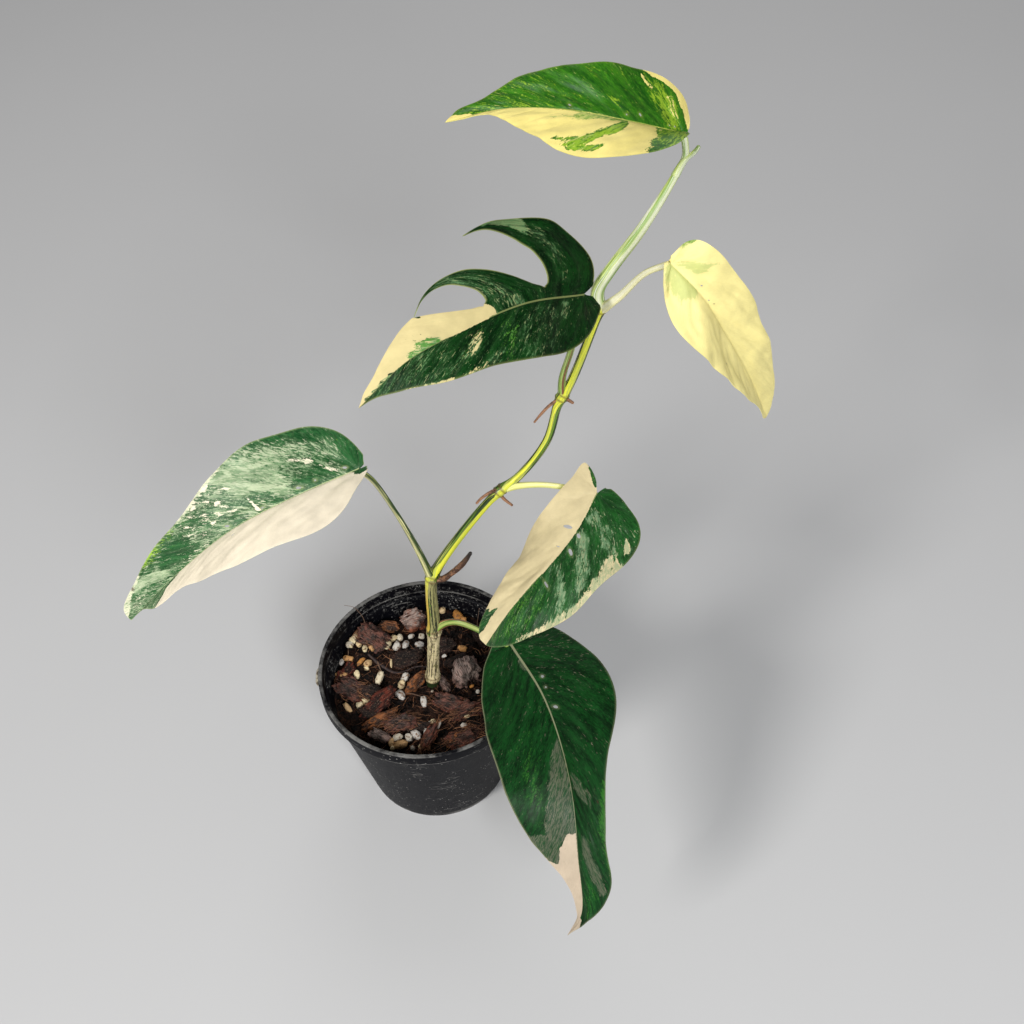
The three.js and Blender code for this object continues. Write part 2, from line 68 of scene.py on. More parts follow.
def put(tree, kind, sockets=None, **settings):
    """Adds a shader node. A socket is given a number, a colour, a colour's code or another node's
    output."""
    node = tree.nodes.new("ShaderNode" + kind)
    for key, value in settings.items():
        setattr(node, key, value)
    for key, value in (sockets or {}).items():
        if isinstance(value, bpy.types.NodeSocket):
            tree.links.new(value, node.inputs[key])
        else:
            node.inputs[key].default_value = paint(value) if isinstance(value, str) else value
    return node


def noise(tree, vector, scale, detail, roughness=0.5, distortion=0.0):
    """Cloudy noise between 0 and 1, with so many clouds to the unit and that depth of detail."""
    return put(tree, "TexNoise", {"Vector": vector, "Scale": scale, "Detail": detail,
                                  "Roughness": roughness, "Distortion": distortion}).outputs[0]


def own_places(tree):
    """Places in metres in the object's own space."""
    return put(tree, "TexCoord").outputs["Object"]


def blended(tree, share, first, second):
    """Colour that goes from the first to the second as the share goes from 0 to 1."""
    return put(tree, "Mix", {0: share, 6: first, 7: second}, data_type="RGBA").outputs[2]


def new_material(name):
    """A new material and its node tree."""
    material = bpy.data.materials.new(name)
    material.use_nodes = True
    return material, material.node_tree


def soft_lamp(name, place, aim, width, watts, colour):
    """Adds a round soft lamp that shines at a point."""
    lamp = bpy.data.lights.new(name, "AREA")
    lamp.shape = "DISK"
    lamp.size = width
    lamp.energy = watts
    lamp.color = colour
    holder = bpy.data.objects.new(name, lamp)
    holder.location = place
    holder.rotation_euler = (Vector(aim) - Vector(place)).to_track_quat("-Z", "Y").to_euler()
    bpy.context.scene.collection.objects.link(holder)


def make_floor():
    """Makes the floor, which isn't part of the object: level, pale and faintly clouded."""
    corners = [(x * FLOOR_REACH, y * FLOOR_REACH, 0) for x, y in ((-1, -1), (1, -1), (1, 1), (-1, 1))]
    mesh = bpy.data.meshes.new("floor")
    mesh.from_pydata(corners, [], [(0, 1, 2, 3)])
    material, tree = new_material("floor_paint")
    shader = tree.nodes["Principled BSDF"]
    place = own_places(tree)
    grain = noise(tree, place, 3.0, 4.0)
    pale = [(FLOOR_GREY * k, FLOOR_GREY * k, FLOOR_GREY * FLOOR_BLUE * k, 1) for k in FLOOR_TONES]
    tree.links.new(blended(tree, grain, *pale), shader.inputs["Base Color"])
    shader.inputs["Roughness"].default_value = FLOOR_ROUGHNESS
    mesh.materials.append(material)
    floor = bpy.data.objects.new("floor", mesh)
    bpy.context.scene.collection.objects.link(floor)


camera = bpy.data.objects.new("camera", bpy.data.cameras.new("camera"))
camera.data.lens = FOCAL_LENGTH
camera.data.clip_start = CLIP_START
tilt = Matrix.Rotation(np.radians(90 - LOOKING_DOWN), 4, "X")
tilt = tilt @ Matrix.Rotation(-np.radians(HEAD_TILT), 4, "Z")
camera.matrix_world = Matrix.Translation(EYE) @ tilt
bpy.context.scene.collection.objects.link(camera)
bpy.context.scene.camera = camera
bpy.context.scene.view_settings.view_transform = "Standard"
sky = bpy.data.worlds.new("sky")
sky.use_nodes = True
sky.node_tree.nodes["Background"].inputs["Color"].default_value = (1, 1, 1, 1)
sky.node_tree.nodes["Background"].inputs["Strength"].default_value = SKY_STRENGTH
bpy.context.scene.world = sky
make_floor()
for lamp in LAMPS:
    soft_lamp(*lamp)

# Nursery pot: thin black polypropylene, moulded in one piece. It has a deep lip, a ledge inside
# below it and six drain holes, and it carries scratches, potting dust and lime from hard water.
POT_HEIGHT = 0.095
RIM_RADIUS = 0.060
BASE_RADIUS = 0.0415
WALL = 0.0014
POT_FLOOR = 0.0024
LIP_HEIGHT = 0.0075
LIP_OVERHANG = 0.0022
STEP_DEPTH = 0.010
STEP_WIDTH = 0.0016
EDGE = 0.0006
DRAIN_HOLES = 6
DRAIN_RADIUS = 0.004
DRAIN_CIRCLE = 0.027
DRAIN_SIDES = 32
POT_SIDES = 192
CORNER_STEPS = 4
SAME_PLACE = 1e-6
POT_CREASE = 50
INNER_RIM = (0.07, 0.082)
RIM_EDGE = (0.0941, 0.0948)
LIP_LINE = 0.0878
FOOT_EDGE = (0.005, 0.001)


def worked(tree, operation, first, second=0.0, third=0.0):
    """Result of one sum, product or other operation on numbers."""
    return put(tree, "Math", {0: first, 1: second, 2: third}, operation=operation).outputs[0]


def times(tree, first, second):
    """Product of two numbers."""
    return worked(tree, "MULTIPLY", first, second)


def scaled(tree, value, factor, added):
    """A number times a factor, with another number added."""
    return worked(tree, "MULTIPLY_ADD", value, factor, added)


def rising(tree, value, low, high):
    """Smooth step that is 0 below low and 1 above high; it falls where low is above high."""
    return put(tree, "MapRange", {0: value, 1: low, 2: high}, interpolation_type="SMOOTHSTEP").outputs[0]


def drawn_out(tree, vector, scales, detail, roughness=0.5, distortion=0.0, shift=0.0):
    """Cloudy noise moved by a shift, with its own number of clouds to the unit on each axis."""
    spot = put(tree, "Mapping", {"Vector": vector, "Location": (shift, shift, 0), "Scale": scales})
    return noise(tree, spot.outputs[0], 1.0, detail, roughness, distortion)


def dressed(material, colour, roughness, height=None, strength=0.0, distance=0.0, gloss=0.5):
    """Gives a material its colour, its roughness, its gloss and, from a height, a bump."""
    tree = material.node_tree
    sockets = tree.nodes["Principled BSDF"].inputs
    tree.links.new(colour, sockets["Base Color"])
    tree.links.new(roughness, sockets["Roughness"])
    sockets["Specular IOR Level"].default_value = gloss
    if height is not None:
        bump = put(tree, "Bump", {"Height": height, "Strength": strength, "Distance": distance})
        tree.links.new(bump.outputs[0], sockets["Normal"])
    return material


def grid_faces(rows, columns):
    """Two triangles for each cell of a grid of rows by columns of points."""
    i, j = np.meshgrid(np.arange(rows - 1), np.arange(columns - 1), indexing="ij")
    a = (i * columns + j).ravel()
    b, c, d = a + 1, a + columns + 1, a + columns
    return np.concatenate([np.stack([a, b, c], -1), np.stack([a, c, d], -1)])


def make_piece(name, places, faces, material, slot, stands_for, uv=None, channels=None):
    """Puts points and triangles into a mesh at the origin. Points at one place become one point,
    and triangles that this collapses go. A closed mesh that faces inwards is turned round: its
    volume, a sixth of the sum of each triangle's three corners' triple product, is negative."""
    keys = np.round(places / SAME_PLACE).astype(np.int64)
    _, first, mark = np.unique(keys, axis=0, return_index=True, return_inverse=True)
    corners = mark.ravel()[faces]
    keep = (np.diff(np.sort(corners, axis=1), axis=1) > 0).all(axis=1)
    faces, corners, points = faces[keep], corners[keep], places[first]
    a, b, c = (points[corners[:, k]] for k in range(3))
    if np.einsum("ij,ij->", a, np.cross(b, c)) < 0:
        faces, corners = faces[:, ::-1], corners[:, ::-1]
    mesh = bpy.data.meshes.new(name)
    mesh.vertices.add(len(points))
    mesh.vertices.foreach_set("co", points.astype(np.float32).ravel())
    mesh.loops.add(corners.size)
    mesh.loops.foreach_set("vertex_index", corners.astype(np.int32).ravel())
    mesh.polygons.add(len(corners))
    mesh.polygons.foreach_set("loop_start", np.arange(0, corners.size, 3, dtype=np.int32))
    mesh.polygons.foreach_set("use_smooth", np.ones(len(corners), bool))
    if uv is not None:
        layer = mesh.uv_layers.new(name="surface")
        layer.data.foreach_set("uv", uv[faces.ravel()].astype(np.float32).ravel())
    for key, values in (channels or {}).items():
        wide = np.zeros((len(points), 4), np.float32)
        values = values.reshape(len(values), -1)
        wide[:, :values.shape[1]] = values[first]
        mesh.attributes.new(key, "FLOAT_COLOR", "POINT").data.foreach_set("color", wide.ravel())
    mesh.update(calc_edges=True)
    mesh.materials.append(material)
    shape = bpy.data.objects.new(name, mesh)
    bpy.context.scene.collection.objects.link(shape)
    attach(shape, "root")
    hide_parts(*stands_for)
    return shape


def full_turn(sides):
    """Angles all the way round, of which the last is 0 again, so that the seam closes."""
    angle = np.linspace(0, 2 * np.pi, sides + 1)
    angle[-1] = 0
    return angle


def turned(profile, sides):
    """Turns a profile of radius and height round the Z axis: a grid of profile points by angles."""
    angle = full_turn(sides)
    radius, height = (np.asarray(profile)[:, k, None] for k in (0, 1))
    places = np.stack([radius * np.cos(angle), radius * np.sin(angle), height + 0 * angle], -1)
    return places.reshape(-1, 3), grid_faces(len(profile), sides + 1)


def pot_radius(height):
    """Radius of the outer wall, which widens evenly from the base to the foot of the lip."""
    return BASE_RADIUS + (RIM_RADIUS - LIP_OVERHANG - BASE_RADIUS) * height / (POT_HEIGHT - LIP_HEIGHT)


def rounded_profile(corners):
    """Rounds each corner by a quadratic curve that starts and ends one edge width before and
    after it, or at a third of a shorter side."""
    corners = np.asarray(corners, float)
    t = np.linspace(0, 1, CORNER_STEPS + 1)[:, None]
    runs = [corners[:1]]
    for before, corner, after in zip(corners, corners[1:], corners[2:]):
        arms = [side / np.linalg.norm(side) * min(EDGE, np.linalg.norm(side) / 3)
                for side in (before - corner, after - corner)]
        runs.append((1 - t) ** 2 * (corner + arms[0]) + 2 * t * (1 - t) * corner + t**2 * (corner + arms[1]))
    return np.concatenate([*runs, corners[-1:]])


def pot_finish():
    """Near-black plastic. Grey lime lies in fine specks, thickly inside the rim, and scuffs the
    foot and the rim's edge; fine scratches run round the wall, and the skin is softly mottled."""
    material, tree = new_material("pot_plastic")
    place = own_places(tree)
    height = put(tree, "SeparateXYZ", {0: place}).outputs["Z"]
    cloud = noise(tree, place, 60.0, 6.0, roughness=0.7)
    fine = noise(tree, place, 900.0, 3.0)
    lines = drawn_out(tree, place, (90.0, 90.0, 1400.0), 3.0)
    scuffs = drawn_out(tree, place, (700.0, 700.0, 60.0), 4.0)
    cells = put(tree, "TexVoronoi", {"Vector": place, "Scale": 420.0}).outputs["Distance"]
    salt = noise(tree, place, 620.0, 8.0, roughness=0.78)
    outwards = put(tree, "VectorMath", {0: place, 1: (1, 1, 0)}, operation="MULTIPLY").outputs[0]
    facing = put(tree, "VectorMath", {0: outwards, 1: put(tree, "TexCoord").outputs["Normal"]},
                 operation="DOT_PRODUCT").outputs["Value"]
    inside = times(tree, rising(tree, facing, 0.01, -0.01), rising(tree, height, *INNER_RIM))
    specks = times(tree, rising(tree, cells, 0.22, 0.1), rising(tree, cloud, 0.44, 0.54))
    crust = scaled(tree, inside, 0.1, times(tree, cloud, 0.3))
    crust = rising(tree, worked(tree, "ADD", salt, crust), 0.81, 0.87)
    from_lip = worked(tree, "ABSOLUTE", worked(tree, "SUBTRACT", height, LIP_LINE))
    edge = worked(tree, "MAXIMUM", rising(tree, height, *RIM_EDGE), rising(tree, from_lip, 0.0006, 0.0002))
    edge = worked(tree, "MAXIMUM", edge, rising(tree, height, *FOOT_EDGE))
    worn = times(tree, edge, rising(tree, cloud, 0.38, 0.62))
    scratch = times(tree, rising(tree, lines, 0.61, 0.67), rising(tree, cloud, 0.47, 0.58))
    worn = worked(tree, "MAXIMUM", worn, times(tree, rising(tree, scuffs, 0.62, 0.76), 0.22))
    lime = times(tree, crust, 0.45)
    for mark, strength in ((specks, 0.8), (scratch, 0.5), (worn, 0.55)):
        lime = worked(tree, "MAXIMUM", lime, times(tree, mark, strength))
    colour = blended(tree, lime, blended(tree, cloud, "030307", "0a0a10"), "9a9894")
    relief = scaled(tree, fine, 0.4, times(tree, cloud, 0.6))
    relief = worked(tree, "SUBTRACT", relief, times(tree, scratch, 0.5))
    rough = scaled(tree, lime, 0.3, scaled(tree, cloud, 0.2, 0.42))
    return dressed(material, colour, rough, relief, 0.25, 0.0006, gloss=0.1)


def drilled(shape):
    """Cuts the drain holes through the base with one closed cutter of round bars."""
    rods = []
    for turn in np.arange(DRAIN_HOLES) / DRAIN_HOLES * 2 * np.pi:
        middle = np.array([np.cos(turn), np.sin(turn), 0]) * DRAIN_CIRCLE
        ends = [(0, -POT_FLOOR), (DRAIN_RADIUS, -POT_FLOOR),
                (DRAIN_RADIUS, 2 * POT_FLOOR), (0, 2 * POT_FLOOR)]
        places, faces = turned(ends, DRAIN_SIDES)
        rods.append((places + middle, faces))
    count = len(rods[0][0])
    places = np.concatenate([rod for rod, _ in rods])
    faces = np.concatenate([faces + k * count for k, (_, faces) in enumerate(rods)])
    cutter = make_piece("drain_cutter", places, faces, shape.data.materials[0], "pot_plastic", ())
    cut = shape.modifiers.new("drain_holes", "BOOLEAN")
    cut.object = cutter
    cut.operation = "DIFFERENCE"
    cut.solver = "EXACT"
    bpy.context.view_layer.update()
    whole = bpy.data.meshes.new_from_object(shape.evaluated_get(bpy.context.evaluated_depsgraph_get()))
    shape.modifiers.clear()
    shape.data = whole
    bpy.data.objects.remove(cutter)
    shape.data.set_sharp_from_angle(angle=np.radians(POT_CREASE))


lip_foot = POT_HEIGHT - LIP_HEIGHT
ledge = POT_HEIGHT - STEP_DEPTH
rim_inside = RIM_RADIUS - LIP_OVERHANG
pot_profile = rounded_profile([
    (0, 0), (BASE_RADIUS, 0), (pot_radius(lip_foot), lip_foot), (RIM_RADIUS, lip_foot),
    (RIM_RADIUS, POT_HEIGHT), (rim_inside, POT_HEIGHT), (rim_inside - EDGE, ledge),
    (rim_inside - STEP_WIDTH, ledge - EDGE),
    (pot_radius(ledge - 2 * STEP_WIDTH) - WALL, ledge - 2 * STEP_WIDTH),
    (pot_radius(POT_FLOOR) - WALL, POT_FLOOR), (0, POT_FLOOR),
])
pot = make_piece("pot_shell", *turned(pot_profile, POT_SIDES), pot_finish(), "pot_plastic", ["nursery_pot"])
drilled(pot)

# Potting mix: black peat with coir husk, pine bark and pumice pressed into it, filled to a little
# below the ledge. A few dry roots and many loose fibres lie on top of it.
CLEARANCE = 0.0003
MIX_LEVEL = 0.075
SHOULDER = 0.004
BUMP = 0.0013
MOUND = (-0.040, 0.028, 0.0075, 0.017)
MIX_SPOKES = 320
MIX_RINGS = 130
CRUMBS = ((0.0060, 0.0010), (0.0026, 0.0009), (0.0012, 0.0006), (0.0006, 0.0003))
LATTICE = 32
# Pumice grains: place, length, width, heading, and tint from grey through cream to amber
GRAINS = [
    (-.0418, .0327, .0042, .0037, 26, .6), (-.0440, .0295, .0042, .0039, 142, .55),
    (-.0432, .0302, .0043, .0031, 113, .4), (-.0457, .0267, .0043, .0036, 26, .3),
    (-.0450, .0260, .0029, .0030, 0, .6), (-.0401, .0257, .0035, .0033, 38, .75),
    (-.0363, .0221, .0052, .0033, 90, .55), (-.0320, .0232, .0049, .0038, 49, .85),
    (-.0265, .0289, .0049, .0031, 67, .7), (-.0206, .0311, .0042, .0038, 13, .7),
    (-.0169, .0321, .0037, .0039, 0, .35), (-.0237, .0261, .0057, .0041, 67, .5),
    (-.0186, .0254, .0060, .0039, 58, .2), (-.0135, .0265, .0060, .0034, 83, .15),
    (-.0105, .0333, .0039, .0024, 13, .2), (-.0044, .0334, .0036, .0032, 0, .3),
    (-.0057, .0277, .0047, .0039, 26, .12), (-.0057, .0231, .0056, .0038, 75, .2),
    (-.0460, .0172, .0061, .0035, 160, .88), (-.0499, .0167, .0038, .0025, 67, .15),
    (-.0387, .0149, .0068, .0025, 47, .95), (-.0348, .0141, .0046, .0036, 49, .8),
    (-.0355, .0116, .0031, .0029, 13, .55), (-.0499, .0071, .0079, .0042, 160, .86),
    (-.0408, .0074, .0052, .0033, 105, .62), (-.0280, .0051, .0081, .0035, 69, .4),
    (-.0135, .0049, .0057, .0041, 67, .2), (-.0155, .0003, .0052, .0038, 67, .7),
    (-.0161, -.0063, .0078, .0044, 122, .15), (-.0027, -.0126, .0069, .0033, 97, .15),
    (-.0389, -.0123, .0041, .0042, 0, .5), (-.0351, -.0098, .0050, .0045, 26, .62),
    (-.0456, -.0134, .0063, .0034, 131, .8), (-.0216, .0143, .0052, .0014, 94, .7),
    (.0022, -.0251, .0027, .0029, 0, .5), (-.0012, -.0293, .0080, .0025, 71, .2),
    (.0058, -.0268, .0043, .0014, 69, .2), (-.0072, -.0337, .0072, .0044, 122, .15),
    (-.0108, -.0358, .0041, .0042, 0, .25), (-.0169, -.0347, .0055, .0038, 13, .3),
    (-.0153, -.0397, .0072, .0042, 7, .84), (-.0204, -.0377, .0052, .0033, 97, .82),
    (-.0196, -.0410, .0029, .0027, 0, .7), (.0195, -.0300, .0036, .0030, 26, .2),
    (.0214, -.0238, .0035, .0021, 13, .6), (.0228, -.0323, .0021, .0018, 0, .2),
    (.0171, -.0413, .0042, .0036, 26, .2), (-.0044, -.0408, .0027, .0026, 0, .6),
    (-.0086, -.0422, .0028, .0027, 0, .25), (.0196, .0229, .0051, .0036, 160, .9),
    (.0171, .0472, .0081, .0053, 122, .97), (.0078, .0504, .0036, .0035, 0, .75),
    (.0205, .0440, .0034, .0027, 142, .92), (.0088, .0195, .0030, .0019, 26, .15),
    (.0275, -.0061, .0023, .0023, 0, .2), (.0242, -.0031, .0027, .0017, 13, .97),
    (.0169, -.0020, .0022, .0020, 0, .15), (.0063, -.0123, .0019, .0020, 0, .2),
    (-.0356, .0398, .0027, .0024, 0, .7), (.0123, .0166, .0017, .0015, 0, .15),
    (.0020, -.0061, .0017, .0013, 26, .3),
]
# Bark and husk: place, length, width, height, heading and tilt in degrees, finish and squareness
CHIPS = [
    ((-.0385, .0350), (.017, .011, .0070), 140, 8, "rust_husk", 0.75),
    ((-.0330, .0275), (.012, .008, .0050), 160, 4, "rust_husk", 0.8),
    ((-.0240, .0400), (.012, .0065, .0042), 160, 0, "amber_bark", 0.8),
    ((-.0094, .0440), (.0125, .0100, .0095), 12, 4, "tan_bark", 0.6),
    ((-.0128, .0184), (.015, .010, .0040), 20, 2, "brown_bark", 0.85),
    ((-.0453, .0105), (.008, .006, .0040), 60, 8, "red_bark", 0.8),
    ((-.0485, .0048), (.009, .007, .0040), 80, 12, "red_bark", 0.7),
    ((-.0440, -.0020), (.015, .011, .0055), 150, 10, "rust_husk", 0.75),
    ((-.0349, -.0040), (.013, .008, .0050), 20, 6, "brown_bark", 0.8),
    ((-.0284, -.0135), (.021, .009, .0060), 40, 12, "red_bark", 0.75),
    ((-.0276, -.0230), (.020, .0065, .0050), 28, 6, "amber_bark", 0.85),
    ((-.0332, -.0190), (.012, .005, .0040), 150, 3, "brown_bark", 0.85),
    ((-.0156, -.0266), (.014, .009, .0055), 10, 4, "rust_husk", 0.8),
    ((-.0072, -.0286), (.013, .006, .0045), 5, 6, "brown_bark", 0.8),
    ((-.0268, -.0335), (.011, .007, .0045), 150, 5, "pink_bark", 0.85),
    ((-.0075, .0005), (.014, .0078, .0070), 50, 6, "amber_bark", 1.0),
    ((.0215, .0053), (.0175, .015, .0105), 112, 6, "pink_bark", 0.8),
    ((.0089, -.0020), (.011, .0045, .0040), 122, 8, "pink_bark", 0.9),
    ((.0154, .0123), (.013, .009, .0045), 30, 4, "brown_bark", 0.85),
    ((.0107, -.0146), (.016, .008, .0050), 160, 8, "rust_husk", 0.8),
    ((.0211, -.0200), (.015, .008, .0055), 15, 6, "rust_husk", 0.8),
    ((.0004, -.0353), (.015, .0045, .0055), 62, 12, "rust_husk", 0.9),
    ((.0196, -.0371), (.016, .009, .0055), 20, 5, "rust_husk", 0.8),
    ((.0140, -.0385), (.009, .004, .0040), 40, 5, "amber_bark", 0.85),
    ((.030, .030), (.012, .007, .004), 100, 4, "brown_bark", 0.8),
    ((.036, .004), (.013, .008, .005), 70, 8, "brown_bark", 0.8),
    ((.033, -.018), (.012, .008, .005), 40, 5, "red_bark", 0.8),
    ((.004, .042), (.011, .007, .004), 165, 6, "brown_bark", 0.8),
    ((.038, .033), (.011, .008, .005), 60, 5, "rust_husk", 0.8),
    ((.008, .026), (.012, .008, .004), 20, 4, "brown_bark", 0.85),
]
# Paler and darker colour of each kind, and how much pale mould lies on its top
CHIP_PAINTS = {
    "tan_bark": ("9a5638", "3a170c", 0.75), "rust_husk": ("643020", "130705", 0.1),
    "brown_bark": ("2e1811", "0c0503", 0.02), "amber_bark": ("8a5126", "2a1409", 0.05),
    "pink_bark": ("8a6a60", "27150f", 0.5), "red_bark": ("6a2c1c", "150704", 0),
}
CHIP_FORM = (34, 56)
GRAIN_FORM = (12, 18)
CHIP_RELIEF = 0.23
HUSK_ROUGHER = 1.4
CHIP_SEED = 40
SINK = 0.22
MOULD_HEIGHTS = (0.0765, 0.0815)
GRAIN_FLATNESS = (0.75, 0.95)
GRAIN_SQUARENESS = (0.65, 0.95)
GRAIN_RELIEF = 0.14
GRAIN_TILT = 20
GRAIN_LIFT = 0.34
GRAIN_SEED = 90
CRUMB_COUNT = 3400
CRUMB_FORM = (4, 6)
CRUMB_SIZE = (0.0005, 0.0021)
CRUMB_STRETCH = (0.6, 1.2)
CRUMB_RELIEF = 0.15
CRUMB_LIFT = 0.1
CRUMB_MARGIN = 0.002
CRUMB_SEED = 7
THREAD_FORM = (7, 3)
THREAD_SWING = 0.18
FIBRE_RADIUS = (0.00006, 0.00017)
FIBRE_COUNT = 420
FIBRE_LENGTH = (0.002, 0.008)
FIBRE_LIFT = (-0.0005, 0.0012)
FIBRE_SLOPE = 0.18
FIBRE_SAG = 0.1
FIBRE_MARGIN = 0.008
FIBRE_SEED = 290
# Fibres on each piece of husk: how high they start, their lengths and their sag as shares of its
# height and length, and how far their headings stray and rise
HUSK_FIBRES = 130
HUSK_FIBRE_START = 0.45
HUSK_FIBRE_LENGTH = (0.3, 0.8)
HUSK_FIBRE_SAG = 0.25
HUSK_FIBRE_STRAY = 0.16
HUSK_FIBRE_RISE = 0.35
HUSK_FIBRE_SEED = 300
MIX_SEED = 23


def cloudy(places, cell, seed):
    """Smooth random values from -1 to 1: seeded draws at the corners of cubes of the given size,
    blended across each cube by 3 t squared less 2 t cubed."""
    lattice = np.random.default_rng(seed).uniform(-1, 1, (LATTICE,) * 3)
    at = np.asarray(places) / cell
    corner = np.floor(at).astype(int)
    t = at - corner
    t = t * t * (3 - 2 * t)
    value = 0
    for step in np.ndindex(2, 2, 2):
        weight = np.where(np.array(step), t, 1 - t).prod(axis=-1)
        i, j, k = np.moveaxis((corner + step) % LATTICE, -1, 0)
        value = value + weight * lattice[i, j, k]
    return value


def ramp(value, width):
    """Rises evenly from 0 to 1 while the value goes from 0 to the width, and stays there."""
    return np.clip(value / width, 0, 1)


def gathered(parts):
    """Joins parts, each of points, faces, surface places and values, into one list of each."""
    counts = np.cumsum([0] + [len(part[0]) for part in parts])
    places, faces, uv, values = zip(*parts)
    return (np.concatenate(places), np.concatenate([f + n for f, n in zip(faces, counts)]),
            np.concatenate(uv), np.concatenate(values))


def make_joined(name, parts, material, slot, node, key="bark", strength=1):
    """Makes one piece of several parts, with their values under a key and at a strength."""
    places, faces, surface, values = gathered(parts)
    make_piece(name, places, faces, material, slot, [node], surface, {key: values * strength})


def mix_height(x, y):
    """Height of the filling: broad swells, a finer slanting ripple, and a bell-shaped mound at the
    back left."""
    rolling = np.sin(130 * x + 1) * np.cos(110 * y) + 0.6 * np.sin(310 * x - 270 * y)
    middle_x, middle_y, rise, width = MOUND
    mound = rise * np.exp(-((x - middle_x) ** 2 + (y - middle_y) ** 2) / width**2)
    return MIX_LEVEL + BUMP * rolling + mound


def filling_surface():
    """Rings round the axis, from the middle of the top out to the wall, down it and back in under
    the filling. The top follows the swells with crumbs of four sizes added."""
    bottom = POT_FLOOR + CLEARANCE
    fill = [pot_radius(height) - WALL - CLEARANCE for height in (MIX_LEVEL, MIX_LEVEL - SHOULDER, bottom)]
    rings = np.linspace(0, 1, MIX_RINGS)
    profile = [(fill[0] * ring, MIX_LEVEL) for ring in rings]
    profile += [(fill[1], MIX_LEVEL - SHOULDER), (fill[2], bottom), (0, bottom)]
    places, faces = turned(profile, MIX_SPOKES)
    x, y, z = places.T
    crumb = sum(height * cloudy(places + 1, cell, k) for k, (cell, height) in enumerate(CRUMBS))
    inner = ramp(fill[0] - np.hypot(x, y), SHOULDER)
    top = z > MIX_LEVEL - SHOULDER / 2
    places[top, 2] = (mix_height(x, y) + crumb * inner - BUMP)[top]
    return places, faces


def lump(form, size, squareness, seed, relief):
    """A rounded block: a sphere whose sines and cosines are raised to the squareness, dented by
    noise and grooved along its length. Its ends lie on X, and its size is whole widths."""
    rows, columns = form
    tip = np.linspace(-np.pi / 2, np.pi / 2, rows)[:, None]
    turn = full_turn(columns)[None]
    power = lambda value: np.sign(value) * np.abs(value) ** squareness
    unit = np.stack([power(np.sin(tip)) + 0 * turn, power(np.cos(tip)) * power(np.cos(turn)),
                     power(np.cos(tip)) * power(np.sin(turn))], -1)
    unit[0, :, 1:] = 0
    unit[-1, :, 1:] = 0
    dents = cloudy(unit + 9, 0.9, seed) + 0.5 * cloudy(unit + 9, 0.35, seed + 1)
    grooves = cloudy(unit * (0.35, 1, 1) + 9, 0.16, seed + 2) + 0.6 * cloudy(unit + 9, 0.11, seed + 3)
    inside = np.cos(tip) ** 0.5
    places = unit * (1 + (1.6 * dents + grooves * inside)[..., None] * relief) * np.array(size) / 2
    surface = np.stack([places[..., 0], turn * size[1] / 2 + 0 * tip], -1)
    # High where the surface stands out and low in its hollows; on chips this paints shade into the hollows
    # and light onto the raised parts.
    values = np.clip(0.5 + 0.5 * grooves + 0.4 * dents, 0, 1)
    return places.reshape(-1, 3), grid_faces(rows, columns + 1), surface.reshape(-1, 2), values.reshape(-1, 1)


def laid(part, at, heading, tilt, sink):
    """Turns a lump to its heading, tips up its front end, and presses it into the filling. A lump
    that reaches the wall is moved in towards the axis until it clears it."""
    places, faces, uv, values = part
    turn = Matrix.Rotation(np.radians(heading), 3, "Z") @ Matrix.Rotation(-np.radians(tilt), 3, "Y")
    height = mix_height(*at) + sink * np.ptp(places[:, 2])
    places = places @ np.array(turn).T + (*at, height)
    wall = pot_radius(places[:, 2]) - WALL - CLEARANCE
    overshoot = max(0, (np.hypot(places[:, 0], places[:, 1]) - wall).max())
    places[:, :2] -= overshoot * np.array(at) / np.hypot(*at)
    return places, faces, uv, values


def threads(starts, headings, length, radius, sag, seed):
    """Thin three-sided fibres, all at once. Each runs along its heading, swings aside by a sine and
    sags by the square of its share: start + heading t + side sin(3t) w - up sag t squared."""
    draw = np.random.default_rng(seed)
    count = len(starts)
    steps, sides = THREAD_FORM
    t = np.linspace(0, 1, steps)[None, :, None]
    headings = headings / np.linalg.norm(headings, axis=1, keepdims=True)
    side = np.cross(headings, (0, 0, 1)) + 1e-6
    side /= np.linalg.norm(side, axis=1, keepdims=True)
    up = np.cross(side, headings)
    length, sag = length[:, None, None], sag[:, None, None]
    swing = draw.normal(0, THREAD_SWING, (count, 1, 1)) * np.sin(3 * t + draw.uniform(0, 3, (count, 1, 1)))
    line = starts[:, None] + length * (headings[:, None] * t + side[:, None] * swing)
    line = line - np.array((0, 0, 1)) * sag * t**2
    taper = radius[:, None, None] * np.sqrt(np.clip(1 - (2 * t - 1) ** 8, 0, 1))
    turn = full_turn(sides)
    ring = np.cos(turn)[:, None] * side[:, None, None] + np.sin(turn)[:, None] * up[:, None, None]
    places = line[:, :, None] + taper[:, :, None] * ring
    one = grid_faces(steps, sides + 1)
    faces = (one[None] + (np.arange(count) * steps * (sides + 1))[:, None, None]).reshape(-1, 3)
    places = places.reshape(-1, 3)
    shade = np.repeat(draw.uniform(0, 1, count), steps * (sides + 1))[:, None]
    return places, faces, places[:, :2], shade


def values_at(tree, name):
    """The four values that a piece carries at its points under a name."""
    kept = put(tree, "Attribute", attribute_name=name).outputs
    return [*put(tree, "SeparateColor", {0: kept["Color"]}).outputs, kept["Alpha"]]


def shaded(tree, value, low, high, first, second):
    """Colour that goes from the first to the second while a value rises from low to high."""
    return blended(tree, rising(tree, value, low, high), first, second)


def layered(tree, colour, layers):
    """Colour with layers laid over it in turn, each with its share, its strength and its tint."""
    for share, strength, tint in layers:
        colour = blended(tree, times(tree, share, strength), colour, tint)
    return colour


